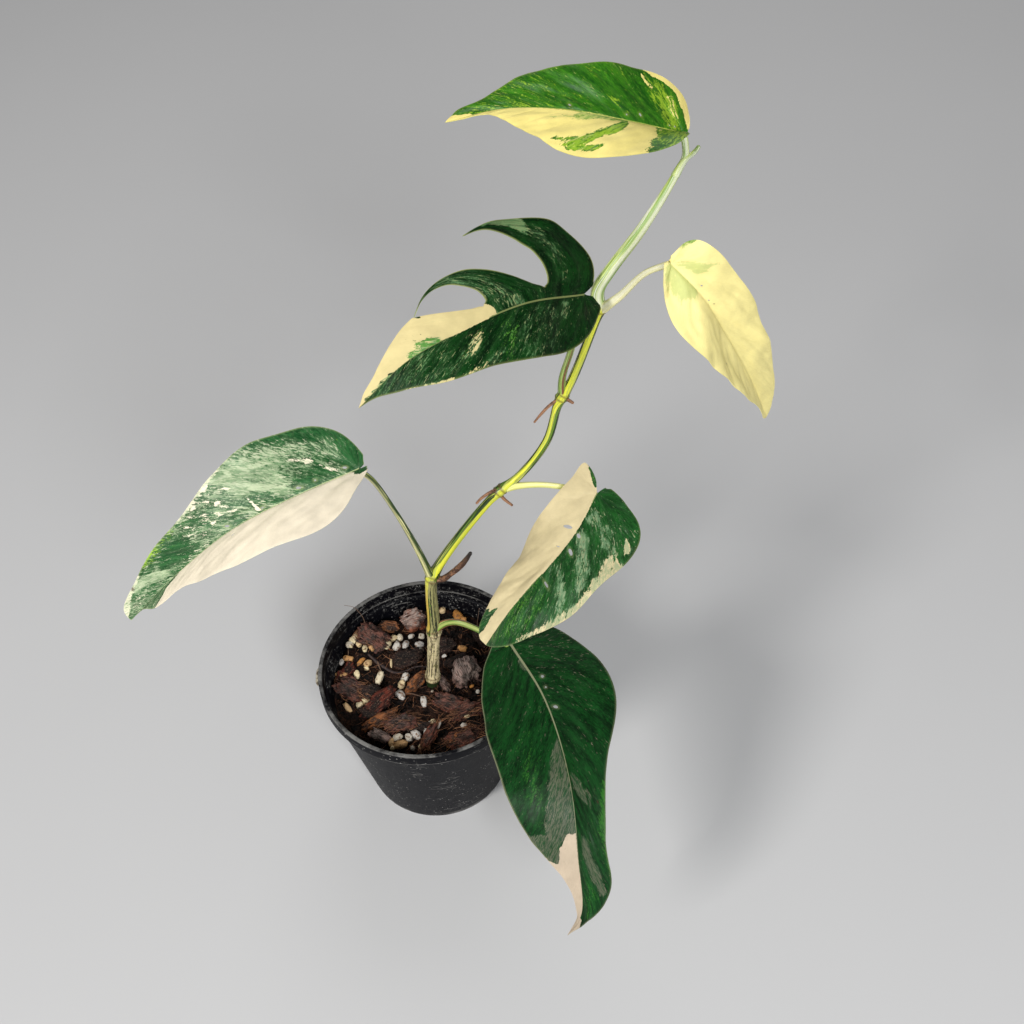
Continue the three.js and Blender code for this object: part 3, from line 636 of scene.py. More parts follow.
def peat_finish():
    """Moist peat: nearly black, with warm brown crumbs and a dull surface of fine grit."""
    material, tree = new_material("peat")
    place = own_places(tree)
    broad = noise(tree, place, 160.0, 8.0, roughness=0.75)
    grit = noise(tree, place, 1100.0, 5.0, roughness=0.8)
    brown = shaded(tree, grit, 0.4, 0.66, "0f0806", "50301f")
    colour = shaded(tree, broad, 0.42, 0.6, "040202", brown)
    flecks = times(tree, rising(tree, grit, 0.61, 0.67), rising(tree, broad, 0.48, 0.56))
    colour = blended(tree, flecks, colour, "8d7862")
    return dressed(material, colour, scaled(tree, grit, 0.5, 0.5), grit, 0.9, 0.0008, gloss=0.2)


def chip_finish(name):
    """Bark or husk: paler and darker fibres along the piece, dull and dusty, and on some kinds pale mould on
    the top. Painted shade darkens its hollows and painted light brightens its raised parts."""
    high, low, mould = CHIP_PAINTS[name]
    material, tree = new_material(name)
    place = own_places(tree)
    surface = put(tree, "UVMap", uv_map="surface").outputs[0]
    fibre = drawn_out(tree, surface, (260.0, 2600.0, 1.0), 4.0)
    mottle = noise(tree, place, 380.0, 5.0)
    # The piece's own dents and grooves add painted shade in its hollows and painted light on its raised parts
    # to the fibre streaks.
    share = scaled(tree, fibre, 0.9, scaled(tree, values_at(tree, "raised")[0], 0.5, -0.25))
    height = put(tree, "SeparateXYZ", {0: place}).outputs["Z"]
    mouldy = times(tree, rising(tree, height, *MOULD_HEIGHTS), rising(tree, fibre, 0.35, 0.6))
    dust = rising(tree, noise(tree, place, 1600.0, 3.0), 0.6, 0.66)
    colour = layered(tree, shaded(tree, share, 0.28, 0.78, low, high), [
        (rising(tree, mottle, 0.48, 0.62), 0.85, "120a07"), (mouldy, mould, "b9a9a0"), (dust, 0.35, "a58a74"),
    ])
    return dressed(material, colour, scaled(tree, fibre, 0.2, 0.7), fibre, 0.8, 0.0006, gloss=0.3)


def pumice_finish():
    """Pumice: cream to grey, each grain with its own tint, pitted and stained brown in patches."""
    material, tree = new_material("pumice")
    place = own_places(tree)
    tint = values_at(tree, "raised")[0]
    pits = put(tree, "TexVoronoi", {"Vector": place, "Scale": 1500.0}).outputs["Distance"]
    mottle = noise(tree, place, 520.0, 5.0)
    own = shaded(tree, tint, 0.1, 0.6, "bdb8b2", "dccba2")
    own = shaded(tree, tint, 0.6, 0.98, own, "b57a38")
    stained = shaded(tree, mottle, 0.5, 0.68, own, "6e4c2e")
    colour = layered(tree, stained, [(rising(tree, pits, 0.24, 0.08), 0.6, "6d5a48")])
    return dressed(material, colour, scaled(tree, mottle, 0.3, 0.55), pits, 0.6, 0.0004)


def fibre_finish():
    """Coir fibres and dry rootlets: red-brown to straw, each its own shade."""
    material, tree = new_material("coir_fibre")
    place = own_places(tree)
    mottle = noise(tree, place, 700.0, 2.0)
    share = scaled(tree, mottle, 0.5, scaled(tree, values_at(tree, "raised")[0], 0.8, -0.2))
    return dressed(material, blended(tree, share, "3c1b10", "b27c56"), scaled(tree, mottle, 0.3, 0.55))


def scattered(draw, count, radius):
    """Even random places on a disc round the pot's axis."""
    reach = radius * np.sqrt(draw.uniform(0, 1, count))
    around = draw.uniform(0, 2 * np.pi, count)
    return reach * np.cos(around), reach * np.sin(around)


def make_mix():
    """Makes the filling, then the chips on it, the grains, the crumbs and the fibres."""
    draw = np.random.default_rng(MIX_SEED)
    make_piece("peat_filling", *filling_surface(), peat_finish(), "potting_mix", ["potting_mix"])

    by_paint = {}
    for k, (at, size, heading, tilt, kind, squareness) in enumerate(CHIPS):
        rough = CHIP_RELIEF * (HUSK_ROUGHER if "husk" in kind else 1)
        chip = laid(lump(CHIP_FORM, size, squareness, CHIP_SEED + k, rough), at, heading, tilt, SINK)
        by_paint.setdefault(kind, []).append(chip)
    for kind, parts in by_paint.items():
        make_joined(f"{kind}_pieces", parts, chip_finish(kind), "potting_mix", "potting_mix", "raised")

    grains = []
    for k, (x, y, length, width, heading, tint) in enumerate(GRAINS):
        form = (length, width, width * draw.uniform(*GRAIN_FLATNESS))
        squareness = draw.uniform(*GRAIN_SQUARENESS)
        places, faces, uv, _ = lump(GRAIN_FORM, form, squareness, GRAIN_SEED + k, GRAIN_RELIEF)
        grain = places, faces, uv, np.full((len(places), 1), tint)
        grains.append(laid(grain, (x, y), heading, draw.uniform(-GRAIN_TILT, GRAIN_TILT), GRAIN_LIFT))
    make_joined("pumice_grains", grains, pumice_finish(), "potting_mix", "potting_mix", "raised")

    x, y = scattered(draw, CRUMB_COUNT, pot_radius(MIX_LEVEL) - WALL - CRUMB_MARGIN)
    sizes = draw.uniform(*CRUMB_SIZE, (CRUMB_COUNT, 1)) * draw.uniform(*CRUMB_STRETCH, (CRUMB_COUNT, 3))
    form = lump(CRUMB_FORM, (1, 1, 1), 1, CRUMB_SEED, CRUMB_RELIEF)
    middle = np.stack([x, y, mix_height(x, y) + CRUMB_LIFT * sizes[:, 2] - BUMP / 2], -1)
    places = (form[0][None] * sizes[:, None] + middle[:, None]).reshape(-1, 3)
    faces = (form[1][None] + (np.arange(CRUMB_COUNT) * len(form[0]))[:, None, None]).reshape(-1, 3)
    make_piece("peat_crumbs", places, faces, peat_finish(), "potting_mix", ["potting_mix"])

    hairs = []
    for k, (at, size, heading, _, kind, _) in enumerate(CHIPS):
        if "husk" not in kind:
            continue
        spot = draw.normal(0, 1, (HUSK_FIBRES, 2)) * (size[0] / 4, size[1] / 4)
        turn = np.radians(heading)
        along_chip = np.array([np.cos(turn), np.sin(turn)])
        across_chip = np.array([-np.sin(turn), np.cos(turn)])
        starts = np.array(at) + spot[:, :1] * along_chip + spot[:, 1:] * across_chip
        height = mix_height(*starts.T) + size[2] * HUSK_FIBRE_START
        flow = along_chip * draw.choice([-1, 1], (HUSK_FIBRES, 1))
        flow = flow + draw.normal(0, HUSK_FIBRE_STRAY, (HUSK_FIBRES, 2))
        headings = np.column_stack([flow, draw.uniform(0, HUSK_FIBRE_RISE, HUSK_FIBRES)])
        length = draw.uniform(*HUSK_FIBRE_LENGTH, HUSK_FIBRES) * size[0]
        radius = draw.uniform(*FIBRE_RADIUS, HUSK_FIBRES)
        hairs.append(threads(np.column_stack([starts, height]), headings, length, radius,
                             length * HUSK_FIBRE_SAG, HUSK_FIBRE_SEED + k))
    x, y = scattered(draw, FIBRE_COUNT, pot_radius(MIX_LEVEL) - FIBRE_MARGIN)
    starts = np.stack([x, y, mix_height(x, y) + draw.uniform(*FIBRE_LIFT, FIBRE_COUNT)], -1)
    flow = draw.normal(0, 1, (FIBRE_COUNT, 3)) * (1, 1, FIBRE_SLOPE)
    length = draw.uniform(*FIBRE_LENGTH, FIBRE_COUNT)
    radius = draw.uniform(*FIBRE_RADIUS, FIBRE_COUNT)
    hairs.append(threads(starts, flow, length, radius, length * FIBRE_SAG, FIBRE_SEED))
    places, faces, uv, shade = gathered(hairs)
    out = np.hypot(places[:, 0], places[:, 1])
    room = np.minimum(1, (pot_radius(MIX_LEVEL) - WALL - CLEARANCE) / np.maximum(out, CLEARANCE))
    places[:, :2] *= room[:, None]
    make_piece("coir_fibres", places, faces, fibre_finish(), "potting_mix", ["potting_mix"], uv,
               {"raised": shade})


make_mix()

# Vine stem: green and yellow striped where it is young, corky and ridged below. It bends at each
# node, where a ring marks a fallen leaf's sheath and brown aerial roots grow out.
STEM_ROUTE = [
    (.001, 0, .055), (.002, 0, .075), (.007, 0, .125), (.009, .004, .163), (.013, .006, .171),
    (.026, .009, .191), (.045, .014, .214), (.057, .017, .223), (.071, .020, .243), (.077, .024, .263),
    (.083, .025, .275), (.092, .028, .300), (.097, .030, .315),
]
STEM_RADII = (.0034, .0034, .0032, .0030, .0025, .0022, .0020, .0021, .0021, .0020)
NODES = [(.0025, 0, .0835), (.007, 0, .125), (.009, .004, .165), (.047, .015, .216), (.079, .025, .267),
         (.097, .030, .313)]
NODE_SWELL = 0.0008
NODE_REACH = 0.0045
SCAR_RING = 0.00035
SCAR_WIDTH = 0.0005
SCAR_DROP = 0.0016
CORK_RIDGE = 0.00030
CORK_TOP = (0.170, 0.160)
CORK_ROUND = (0.127, 0.006)
CORK_TURN = 0.45
RIDGE_SEED = 61
STEM_STRETCH = 12
STEM_FOOT = (0.0805, 0.0825)
YELLOW_WIDTH = 0.8
YELLOW_HEIGHTS = (0.122, 0.129, 0.158, 0.175, 0.213, 0.221, 0.258, 0.268)
YELLOW_TURNS = (2.85, 2.85, 2.75, 1.25, 1.2, 2.35, 2.35, 1.8)
YELLOW_SHARES = (0.1, 0.85, 0.85, 1, 1, 0.62, 0.62, 1)
# Heights between which the yellow turns tan, the cork turns old and pale, and the foot turns dark
TAN_YELLOW = (0.168, 0.15)
OLD_CORK = (0.129, 0.123)
DARK_FOOT = (0.0835, 0.0815)
STEM_FORM = (520, 56)
ROOT_FORM = (70, 20)
ROOT_STRETCH = 250
ROOT_KNOBS = 0.12
ROOT_SEED = 70
FREE_ROOT_SEED = 80
HAIR_SEED = 90
AERIAL_ROOTS = [
    ([(.009, .004, .165), (.014, .003, .164), (.020, .001, .171), (.026, -.001, .180), (.031, -.004, .192)],
     (.0019, .0016, .0015, .0009)),
    ([(.047, .015, .216), (.043, .012, .218), (.038, .010, .216), (.035, .009, .213)], (.0009, .0008, .0006)),
    ([(.046, .015, .215), (.049, .013, .211), (.053, .011, .208)], (.0009, .0008, .0006)),
    ([(.079, .025, .266), (.073, .022, .264), (.069, .021, .260), (.065, .020, .255)], (.0008, .0007, .0005)),
    ([(.079, .025, .266), (.082, .022, .266), (.084, .021, .265)], (.0011, .0009, .0007)),
]
UPPER_ROOT_TIP = 0.6
UPPER_ROOT_PALENESS = 0.45
# A loose dry root on the mix
FREE_ROOT = [
    (-.035, .020), (-.0299, .0159), (-.0263, .0127), (-.0229, .0107), (-.0186, .0099), (-.0142, .0106),
    (-.0097, .0120), (-.0051, .0123), (.001, .0110),
]
FREE_ROOT_RADII = (.0007, .0011, .0008, .0006, .0005, .0005)
FREE_ROOT_LIFT = 0.0011
# Dry hairs: one over the rim, one before the back wall, a straw and a twig
DRY_HAIRS = [
    ([(-.0470, .0404, .1003), (-.0430, .0405, .0988), (-.0405, .0405, .0960), (-.0372, .0385, .0905),
      (-.0362, .0370, .0820)], (.00010, .00016, .00018, .00018)),
    ([(.0302, .0435, .0870), (.0292, .0400, .0830), (.0280, .0370, .0765)], (.00012, .00018, .0002)),
    ([(-.0462, .0232, .0815), (-.0457, .0158, .0812), (-.0453, .0094, .0800)], (.00015, .0002, .00015)),
    ([(-.0130, -.0064, .0772), (-.0089, -.0076, .0774), (-.0040, -.0097, .0776)], (.0002, .0002, .00015)),
    ([(-.0295, .0155, .0785), (-.0282, .0114, .0782), (-.0264, .0075, .0766)], (.0004, .0003, .0002)),
]
ROUTE_STEPS = 700


def bell(value, width):
    """Bell curve round 0: e to the power of minus the square of the value over the width."""
    return np.exp(-((value / width) ** 2))


def angle_from(turn, middle):
    """Angle between a turn and a middle, the short way round."""
    return np.abs((turn - middle + np.pi) % (2 * np.pi) - np.pi)


def cubic(start, end, slope, next_slope, t):
    """Cubic from start to end that has the given slopes there, at a share t of the way."""
    bend, twist = 3 * (end - start) - 2 * slope - next_slope, 2 * (start - end) + slope + next_slope
    return start + slope * t + bend * t**2 + twist * t**3


def along(values, share):
    """Smooth curve through evenly spaced values, at a share of its run: a cubic between each two,
    whose slope at a value is half the difference of that value's neighbours."""
    values = np.asarray(values, float)
    last = len(values) - 1
    place = np.clip(np.asarray(share, float), 0, 1) * last
    start = np.minimum(np.floor(place).astype(int), last - 1)
    t = (place - start).reshape(place.shape + (1,) * (values.ndim - 1))
    before, here, after, beyond = (values[np.clip(start + k, 0, last)] for k in (-1, 0, 1, 2))
    return cubic(here, after, (after - before) / 2, (beyond - here) / 2, t)


def smooth_route(points):
    """Points close together on a smooth curve through the given ones, and the length run at each.
    Each stretch is a cubic whose end slopes allow for the square roots of the point distances."""
    points = np.asarray(points, float)
    last = len(points) - 1
    ends = np.vstack([2 * points[0] - points[1], points, 2 * points[-1] - points[-2]])
    place = np.linspace(0, last, ROUTE_STEPS)
    start = np.minimum(np.floor(place).astype(int), last - 1)
    t = (place - start)[:, None]
    a, b, c, d = (ends[start + k] for k in range(4))
    ab, bc, cd = (np.sqrt(np.linalg.norm(q - p, axis=1))[:, None] for p, q in ((a, b), (b, c), (c, d)))
    slope = ((b - a) / ab - (c - a) / (ab + bc) + (c - b) / bc) * bc
    next_slope = ((c - b) / bc - (d - b) / (bc + cd) + (d - c) / cd) * bc
    curve = cubic(b, c, slope, next_slope, t)
    return curve, np.r_[0, np.cumsum(np.linalg.norm(np.diff(curve, axis=0), axis=1))]


def followed(route, distance):
    """Place and heading on a smooth route after the given length has been run."""
    curve, run = route
    slopes = np.gradient(curve, run, axis=0)
    place, heading = (np.stack([np.interp(distance, run, rows[:, k]) for k in range(3)], -1)
                      for rows in (curve, slopes))
    return place, heading / np.linalg.norm(heading, axis=-1, keepdims=True)


def round_bar(points, girth, form):
    """A closed round bar along a smooth route. Girth gives the radius at a length run and an angle,
    which is 0 to the right and a quarter turn to the front, and values for the finish. The ends
    are rounded: within one radius r of an end, at distance d, the radius shrinks by the root of
    1 - (1 - d/r) squared."""
    rings, sides = form
    route = smooth_route(points)
    length = route[1][-1]
    distance = np.linspace(0, length, rings)
    centre, heading = followed(route, distance)
    across = np.cross((0, 1, 0), heading)
    across /= np.linalg.norm(across, axis=1, keepdims=True)
    front = np.cross(across, heading)
    angle = np.linspace(0, 2 * np.pi, sides + 1)
    turn = full_turn(sides)[None]
    radius, values = girth(distance[:, None], turn, centre[:, None])
    mean = radius.mean(axis=1, keepdims=True)
    short = ramp(np.minimum(distance, length - distance)[:, None], mean)
    radius = radius * np.sqrt(1 - (1 - short) ** 2)
    spoke = across[:, None] * np.cos(turn)[..., None] + front[:, None] * np.sin(turn)[..., None]
    places = centre[:, None] + spoke * radius[..., None]
    surface = np.stack([angle[None] * mean, distance[:, None] + 0 * angle[None]], -1)
    return (places.reshape(-1, 3), grid_faces(rings, sides + 1), surface.reshape(-1, 2),
            values.reshape(-1, values.shape[-1]))


def round_places(distance, turn, stretch):
    """Places on a round bar as a noise reads them: on a unit circle, at a height of the length run
    times a stretch."""
    flat = 0 * distance * turn
    return np.stack([np.cos(turn) + flat, np.sin(turn) + flat, stretch * distance + flat], -1)


def stem_girth(distance, turn, centre):
    """Radius of the stem, and its shares of cork, scar, ridge and yellow. Each node swells it by a bell
    curve and has a fine ring below it; cork is ridged and covers the front and right of the lower
    stem, and a yellow stripe, a bell curve of the angle, winds slowly round it."""
    length = smooth_route(STEM_ROUTE)[1][-1]
    away = np.linalg.norm(centre - np.array(NODES), axis=-1)
    nearest = away.min(axis=1, keepdims=True)
    radius = along(STEM_RADII, distance / length) + NODE_SWELL * bell(nearest, NODE_REACH)
    ring = bell(nearest - SCAR_DROP, SCAR_WIDTH)
    round_place = round_places(distance, turn, STEM_STRETCH)
    ridge = cloudy(round_place + 9, 0.22, RIDGE_SEED)
    ridge = ridge + 0.5 * cloudy(round_place * (1, 1, 8) + 9, 0.12, RIDGE_SEED + 1)
    height = centre[..., 2]
    low = ramp(CORK_TOP[0] - height, CORK_TOP[0] - CORK_TOP[1])
    facing = np.clip(0.45 + 1.1 * np.cos(turn - CORK_TURN) + 0.4 * ridge, 0, 1)
    cork = low * np.maximum(facing, ramp(CORK_ROUND[0] - height, CORK_ROUND[1]))
    cork = cork * ramp(height - STEM_FOOT[0], STEM_FOOT[1] - STEM_FOOT[0])
    radius = radius + CORK_RIDGE * ridge * (0.15 + 0.85 * cork) + SCAR_RING * ring
    from_yellow = angle_from(turn, np.interp(height, YELLOW_HEIGHTS, YELLOW_TURNS))
    yellow = bell(from_yellow, YELLOW_WIDTH) * np.interp(height, YELLOW_HEIGHTS, YELLOW_SHARES)
    return radius, np.stack([cork, ring + 0 * turn, 0.5 + 0.5 * ridge, yellow], -1)


def root_bar(points, radii, seed):
    """An aerial root: lumpy, and darker towards its tip."""
    length = smooth_route(points)[1][-1]

    def girth(distance, turn, _):
        """Radius and values, as round_bar asks for them."""
        share = distance / length
        round_place = round_places(distance, turn, ROOT_STRETCH)
        knobs = cloudy(round_place + 9, 1.1, seed) + 0.5 * cloudy(round_place + 9, 0.5, seed + 1)
        values = np.stack([share + 0 * turn, 0.5 + 0.5 * knobs, 0 * knobs], -1)
        return along(radii, share) * (1 + ROOT_KNOBS * knobs), values
    return round_bar(points, girth, ROOT_FORM)


def new_group(name, wanted, made):
    """A new node group, what it is given and where its results go. Each socket has a name and a
    kind."""
    group = bpy.data.node_groups.new(name, "ShaderNodeTree")
    for sockets, side in ((wanted, "INPUT"), (made, "OUTPUT")):
        for label, kind in sockets.items():
            group.interface.new_socket(label, in_out=side, socket_type="NodeSocket" + kind)
    return group, group.nodes.new("NodeGroupInput").outputs, group.nodes.new("NodeGroupOutput").inputs


def grouped(tree, group, *values):
    """Results of a node group that is given its values in order."""
    return put(tree, "Group", dict(enumerate(values)), node_tree=group).outputs


def stripes_group():
    """Group that paints lengthwise stripes of two colours over a third, as on a variegated stem.
    It reads the bar's own places, across and along in metres, and gives a colour and a height."""
    paints = dict.fromkeys(("Ground", "Stripe", "Fine stripe"), "Color")
    group, given, result = new_group("lengthwise_stripes", {**paints, "Spread": "Float"},
                                     {"Colour": "Color", "Height": "Float"})
    surface = put(group, "UVMap", uv_map="surface").outputs[0]
    bands = drawn_out(group, surface, (420.0, 14.0, 1.0), 3.0, distortion=0.2)
    lines = drawn_out(group, surface, (1500.0, 30.0, 1.0), 4.0)
    share = worked(group, "ADD", bands, scaled(group, given["Spread"], 0.4, -0.2))
    colour = shaded(group, share, 0.47, 0.53, given["Ground"], given["Stripe"])
    colour = shaded(group, lines, 0.54, 0.62, colour, given["Fine stripe"])
    group.links.new(colour, result["Colour"])
    group.links.new(lines, result["Height"])
    return group


def stem_finish(stripes):
    """Striped green skin, tan cork with dark furrows where the cork value is high, brown scars."""
    material, tree = new_material("stem_skin")
    place = own_places(tree)
    young, height = grouped(tree, stripes, "17330a", "5c7d20", "b4bb50", 0.4)
    corky, scar, raised, yellow = values_at(tree, "bark")
    edge = scaled(tree, height, 0.5, yellow)
    beside = times(tree, rising(tree, edge, 0.5, 0.6), 0.75)
    young = blended(tree, beside, young, "16280c")
    bright = shaded(tree, height, 0.42, 0.6, "dcdc3e", "a9b436")
    height_up = put(tree, "SeparateXYZ", {0: place}).outputs["Z"]
    bright = shaded(tree, height_up, *TAN_YELLOW, bright, "c9ad4c")
    young = shaded(tree, edge, 0.66, 0.74, young, bright)
    pale_lines = times(tree, rising(tree, height, 0.5, 0.62), 0.25)
    young = blended(tree, pale_lines, young, "dfe08a")
    mottle = noise(tree, place, 500.0, 5.0)
    furrow = scaled(tree, height, 0.8, times(tree, raised, 0.5))
    furrow = rising(tree, furrow, 0.5, 0.68)
    older = rising(tree, height_up, *OLD_CORK)
    ridges = blended(tree, older, "8f8a58", "cfc094")
    cork = blended(tree, furrow, blended(tree, older, "20260d", "2c2214"), ridges)
    cork = shaded(tree, mottle, 0.55, 0.7, cork, "6e6a3c")
    young = shaded(tree, height_up, *DARK_FOOT, young, "26351a")
    worn = rising(tree, scaled(tree, mottle, 0.6, corky), 0.72, 0.86)
    colour = blended(tree, worn, young, cork)
    colour = blended(tree, times(tree, scar, 0.75), colour, "5b4023")
    return dressed(material, colour, scaled(tree, worn, 0.4, 0.38), height, 0.4, 0.0004)


def root_finish(name, low, high):
    """Root skin: corky brown, pale on its knobs and nearly black at its tip."""
    material, tree = new_material(name)
    place = own_places(tree)
    parts = values_at(tree, "bark")
    mottle = noise(tree, place, 900.0, 5.0)
    share = scaled(tree, mottle, 0.9, scaled(tree, parts[1], 0.4, -0.2))
    colour = shaded(tree, share, 0.3, 0.75, low, high)
    colour = shaded(tree, parts[0], 0.6, 1.0, colour, "1c1410")
    return dressed(material, colour, scaled(tree, mottle, 0.3, 0.55), mottle, 0.6, 0.0004)


stripes = stripes_group()
stem = round_bar(STEM_ROUTE, stem_girth, STEM_FORM)
make_joined("stem_skin", [stem], stem_finish(stripes), "stem", "vine_stem")
roots = [root_bar(*root, ROOT_SEED + k) for k, root in enumerate(AERIAL_ROOTS)]
# The upper roots are tan right to their tips
roots[1:] = [(*form, bark * (UPPER_ROOT_TIP, 1, 1) + (0, UPPER_ROOT_PALENESS, 0))
             for *form, bark in roots[1:]]
make_joined("aerial_roots", roots, root_finish("aerial_root", "3d2418", "946a4c"), "stem", "vine_stem")
free_root = [(x, y, mix_height(x, y) + FREE_ROOT_LIFT - BUMP) for x, y in FREE_ROOT]
make_joined("dry_root", [root_bar(free_root, FREE_ROOT_RADII, FREE_ROOT_SEED)],
            root_finish("dry_root_bark", "241715", "77594c"), "potting_mix", "potting_mix", strength=0.5)
make_joined("dry_hairs", [root_bar(*hair, HAIR_SEED + k) for k, hair in enumerate(DRY_HAIRS)],
            root_finish("dry_hair", "5f4737", "b2967c"), "potting_mix", "potting_mix", strength=0.5)

# Pale crust on the left of the pot's lip: a narrow, lumpy smear of lime that hard water left, dry
# and chalky, 11 mm long.
CRUST_FORM = (40, 24)
CRUST_PLACE = (-0.0604, -0.0008, 0.0905)
CRUST_SIZE = (0.0115, 0.0026, 0.0042)
CRUST_SQUARENESS = 0.9
CRUST_RELIEF = 0.12
CRUST_SEED = 31


def crust_finish():
    """Dried lime: chalky, cream to grey, with brown stains."""
    material, tree = new_material("lime_crust")
    place = own_places(tree)
    mottle = noise(tree, place, 420.0, 6.0)
    colour = shaded(tree, mottle, 0.38, 0.6, "5c5142", "b9b19e")
    return dressed(material, colour, scaled(tree, mottle, 0.2, 0.7), mottle, 0.6, 0.0005)


places, faces, _, _ = lump(CRUST_FORM, CRUST_SIZE, CRUST_SQUARENESS, CRUST_SEED, CRUST_RELIEF)
upright = places[:, [1, 0, 2]] * (-1, 1, 1)
make_piece("lip_crust", upright + CRUST_PLACE, faces, crust_finish(), "pot_plastic", ["nursery_pot"])

# Leaf stalks: fleshy and striped, grooved along the upper side, clasping the stem at the foot and
# a little thicker just below the blade. The top stalk keeps its winged sheath, which ends in a hook.
STALK_FORM = (180, 40)
FOOT_FLARE = 0.0007
FOOT_REACH = 0.006
NECK_SWELL = 0.00025
NECK_REACH = 0.009
GROOVE = 0.16
GROOVE_AND_HIGHLIGHT_WIDTH = 0.55
WING_WIDTH = 0.25
WING = 0.0007
# Each stalk: its route and radii; its ground, stripe and fine stripe colours, the last also used for the pale
# band along the groove, which is a painted highlight; how far the stripes spread; the angle of the groove and
# of its painted highlight; how far its wings stand out; and whether their edges are dry.
STALKS = {
    "top": {
        "route": [(.096, .030, .311), (.095, .031, .322), (.101, .035, .330), (.114, .043, .343),
                  (.129, .053, .362), (.134, .057, .370), (.1335, .060, .378)],
        "radii": (.0026, .0025, .0024, .0021, .0016, .0013),
        "paints": ("7c9c40", "bccb78", "e6e8d2"), "spread": 0.62, "groove_and_highlight": 1.3, "wing": 1, "dry": 0,
    },
    "split": {
        "route": [(.079, .025, .266), (.079, .024, .278), (.083, .021, .298), (.088, .0175, .3295)],
        "radii": (.0019, .0016, .0016, .0014),
        "paints": ("456a20", "8ba648", "c3cc86"), "spread": 0.55, "groove_and_highlight": 0.4, "wing": 0.6, "dry": 1,
    },
    "cream": {
        "route": [(.097, .030, .312), (.104, .023, .324), (.113, .012, .344), (.1215, .0035, .3545)],
        "radii": (.0019, .0016, .0013, .0013),
        "paints": ("8fa04c", "e0dba6", "eceacf"), "spread": 0.8, "groove_and_highlight": 2.6, "wing": 0.4, "dry": 0,
    },
    "left": {
        "route": [(.009, .004, .165), (.005, .002, .187), (-.003, -.003, .223), (-.011, -.006, .249),
                  (-.0155, -.008, .2575)],
        "radii": (.0018, .0015, .0012, .0012),
        "paints": ("22400f", "98a648", "ebe4a6"), "spread": 0.3, "groove_and_highlight": 1.95, "wing": 0.4, "dry": 0,
    },
    "folded": {
        "route": [(.047, .015, .216), (.055, .015, .218), (.067, .015, .218), (.080, .014, .216),
                  (.094, .007, .2175)],
        "radii": (.0019, .0016, .0015, .0013),
        "paints": ("8fa043", "d8d780", "e9e6a8"), "spread": 0.85, "groove_and_highlight": 3.9, "wing": 0.4, "dry": 0,
    },
    "hanging": {
        "route": [(.007, 0, .126), (.015, -.002, .134), (.022, -.005, .137), (.034, -.010, .134),
                  (.047, -.016, .129)],
        "radii": (.0019, .0016, .0015, .0013),
        "paints": ("355f18", "6f9a38", "a9b062"), "spread": 0.45, "groove_and_highlight": 2.2, "wing": 0.5, "dry": 1,
    },
}
SHEATH_HOOK = ([(.129, .053, .362), (.134, .056, .369), (.138, .058, .371), (.140, .058, .374)],
               (.0014, .0012, .0006))


def stalk_girth(stalk):
    """Radius of a stalk: the foot flares and the neck swells by falling exponentials, a groove is
    cut by a bell curve round its angle, and two wings stand beside the groove on the lower part."""
    length = smooth_route(stalk["route"])[1][-1]

    def girth(distance, turn, _):
        """Radius and values, as round_bar asks for them."""
        share = distance / length
        radius = along(stalk["radii"], share) + FOOT_FLARE * np.exp(-distance / FOOT_REACH)
        radius = radius + NECK_SWELL * np.exp(-(length - distance) / NECK_REACH)
        away = angle_from(turn, stalk["groove_and_highlight"])
        groove_and_highlight = bell(away, GROOVE_AND_HIGHLIGHT_WIDTH)
        wings = bell(away - 2 * GROOVE_AND_HIGHLIGHT_WIDTH, WING_WIDTH) * np.clip(1.3 - 1.5 * share, 0, 1)
        radius = radius * (1 - GROOVE * groove_and_highlight) + WING * stalk["wing"] * wings
        # The groove's bell curve also gives the share of the pale painted highlight along it.
        values = np.stack([stalk["dry"] * wings, groove_and_highlight + 0 * share, share + 0 * turn], -1)
        return radius, values
    return girth


def stalk_finish(name, stalk):
    """Striped fleshy skin, with a pale band along the groove that is a painted highlight; dried sheath edges
    are papery brown.
    """
    material, tree = new_material(f"stalk_{name}_skin")
    colour, height = grouped(tree, stripes, *stalk["paints"], stalk["spread"])
    parts = values_at(tree, "bark")
    # Pale band along the groove, in the fine stripe's colour: a painted highlight.
    colour = layered(tree, colour, [(parts[1], 0.8, stalk["paints"][2])])
    colour = shaded(tree, parts[0], 0.25, 0.6, colour, "7a4c33")
    return dressed(material, colour, scaled(tree, height, 0.3, 0.25), height, 0.25, 0.0003)


for name, stalk in STALKS.items():
    bars = [round_bar(stalk["route"], stalk_girth(stalk), STALK_FORM)]
    if name == "top":
        hook = dict(stalk, route=SHEATH_HOOK[0], radii=SHEATH_HOOK[1], wing=0)
        bars.append(round_bar(hook["route"], stalk_girth(hook), ROOT_FORM))
    make_joined(f"stalk_{name}_flesh", bars, stalk_finish(name, stalk), "stalk", f"stalk_{name}")

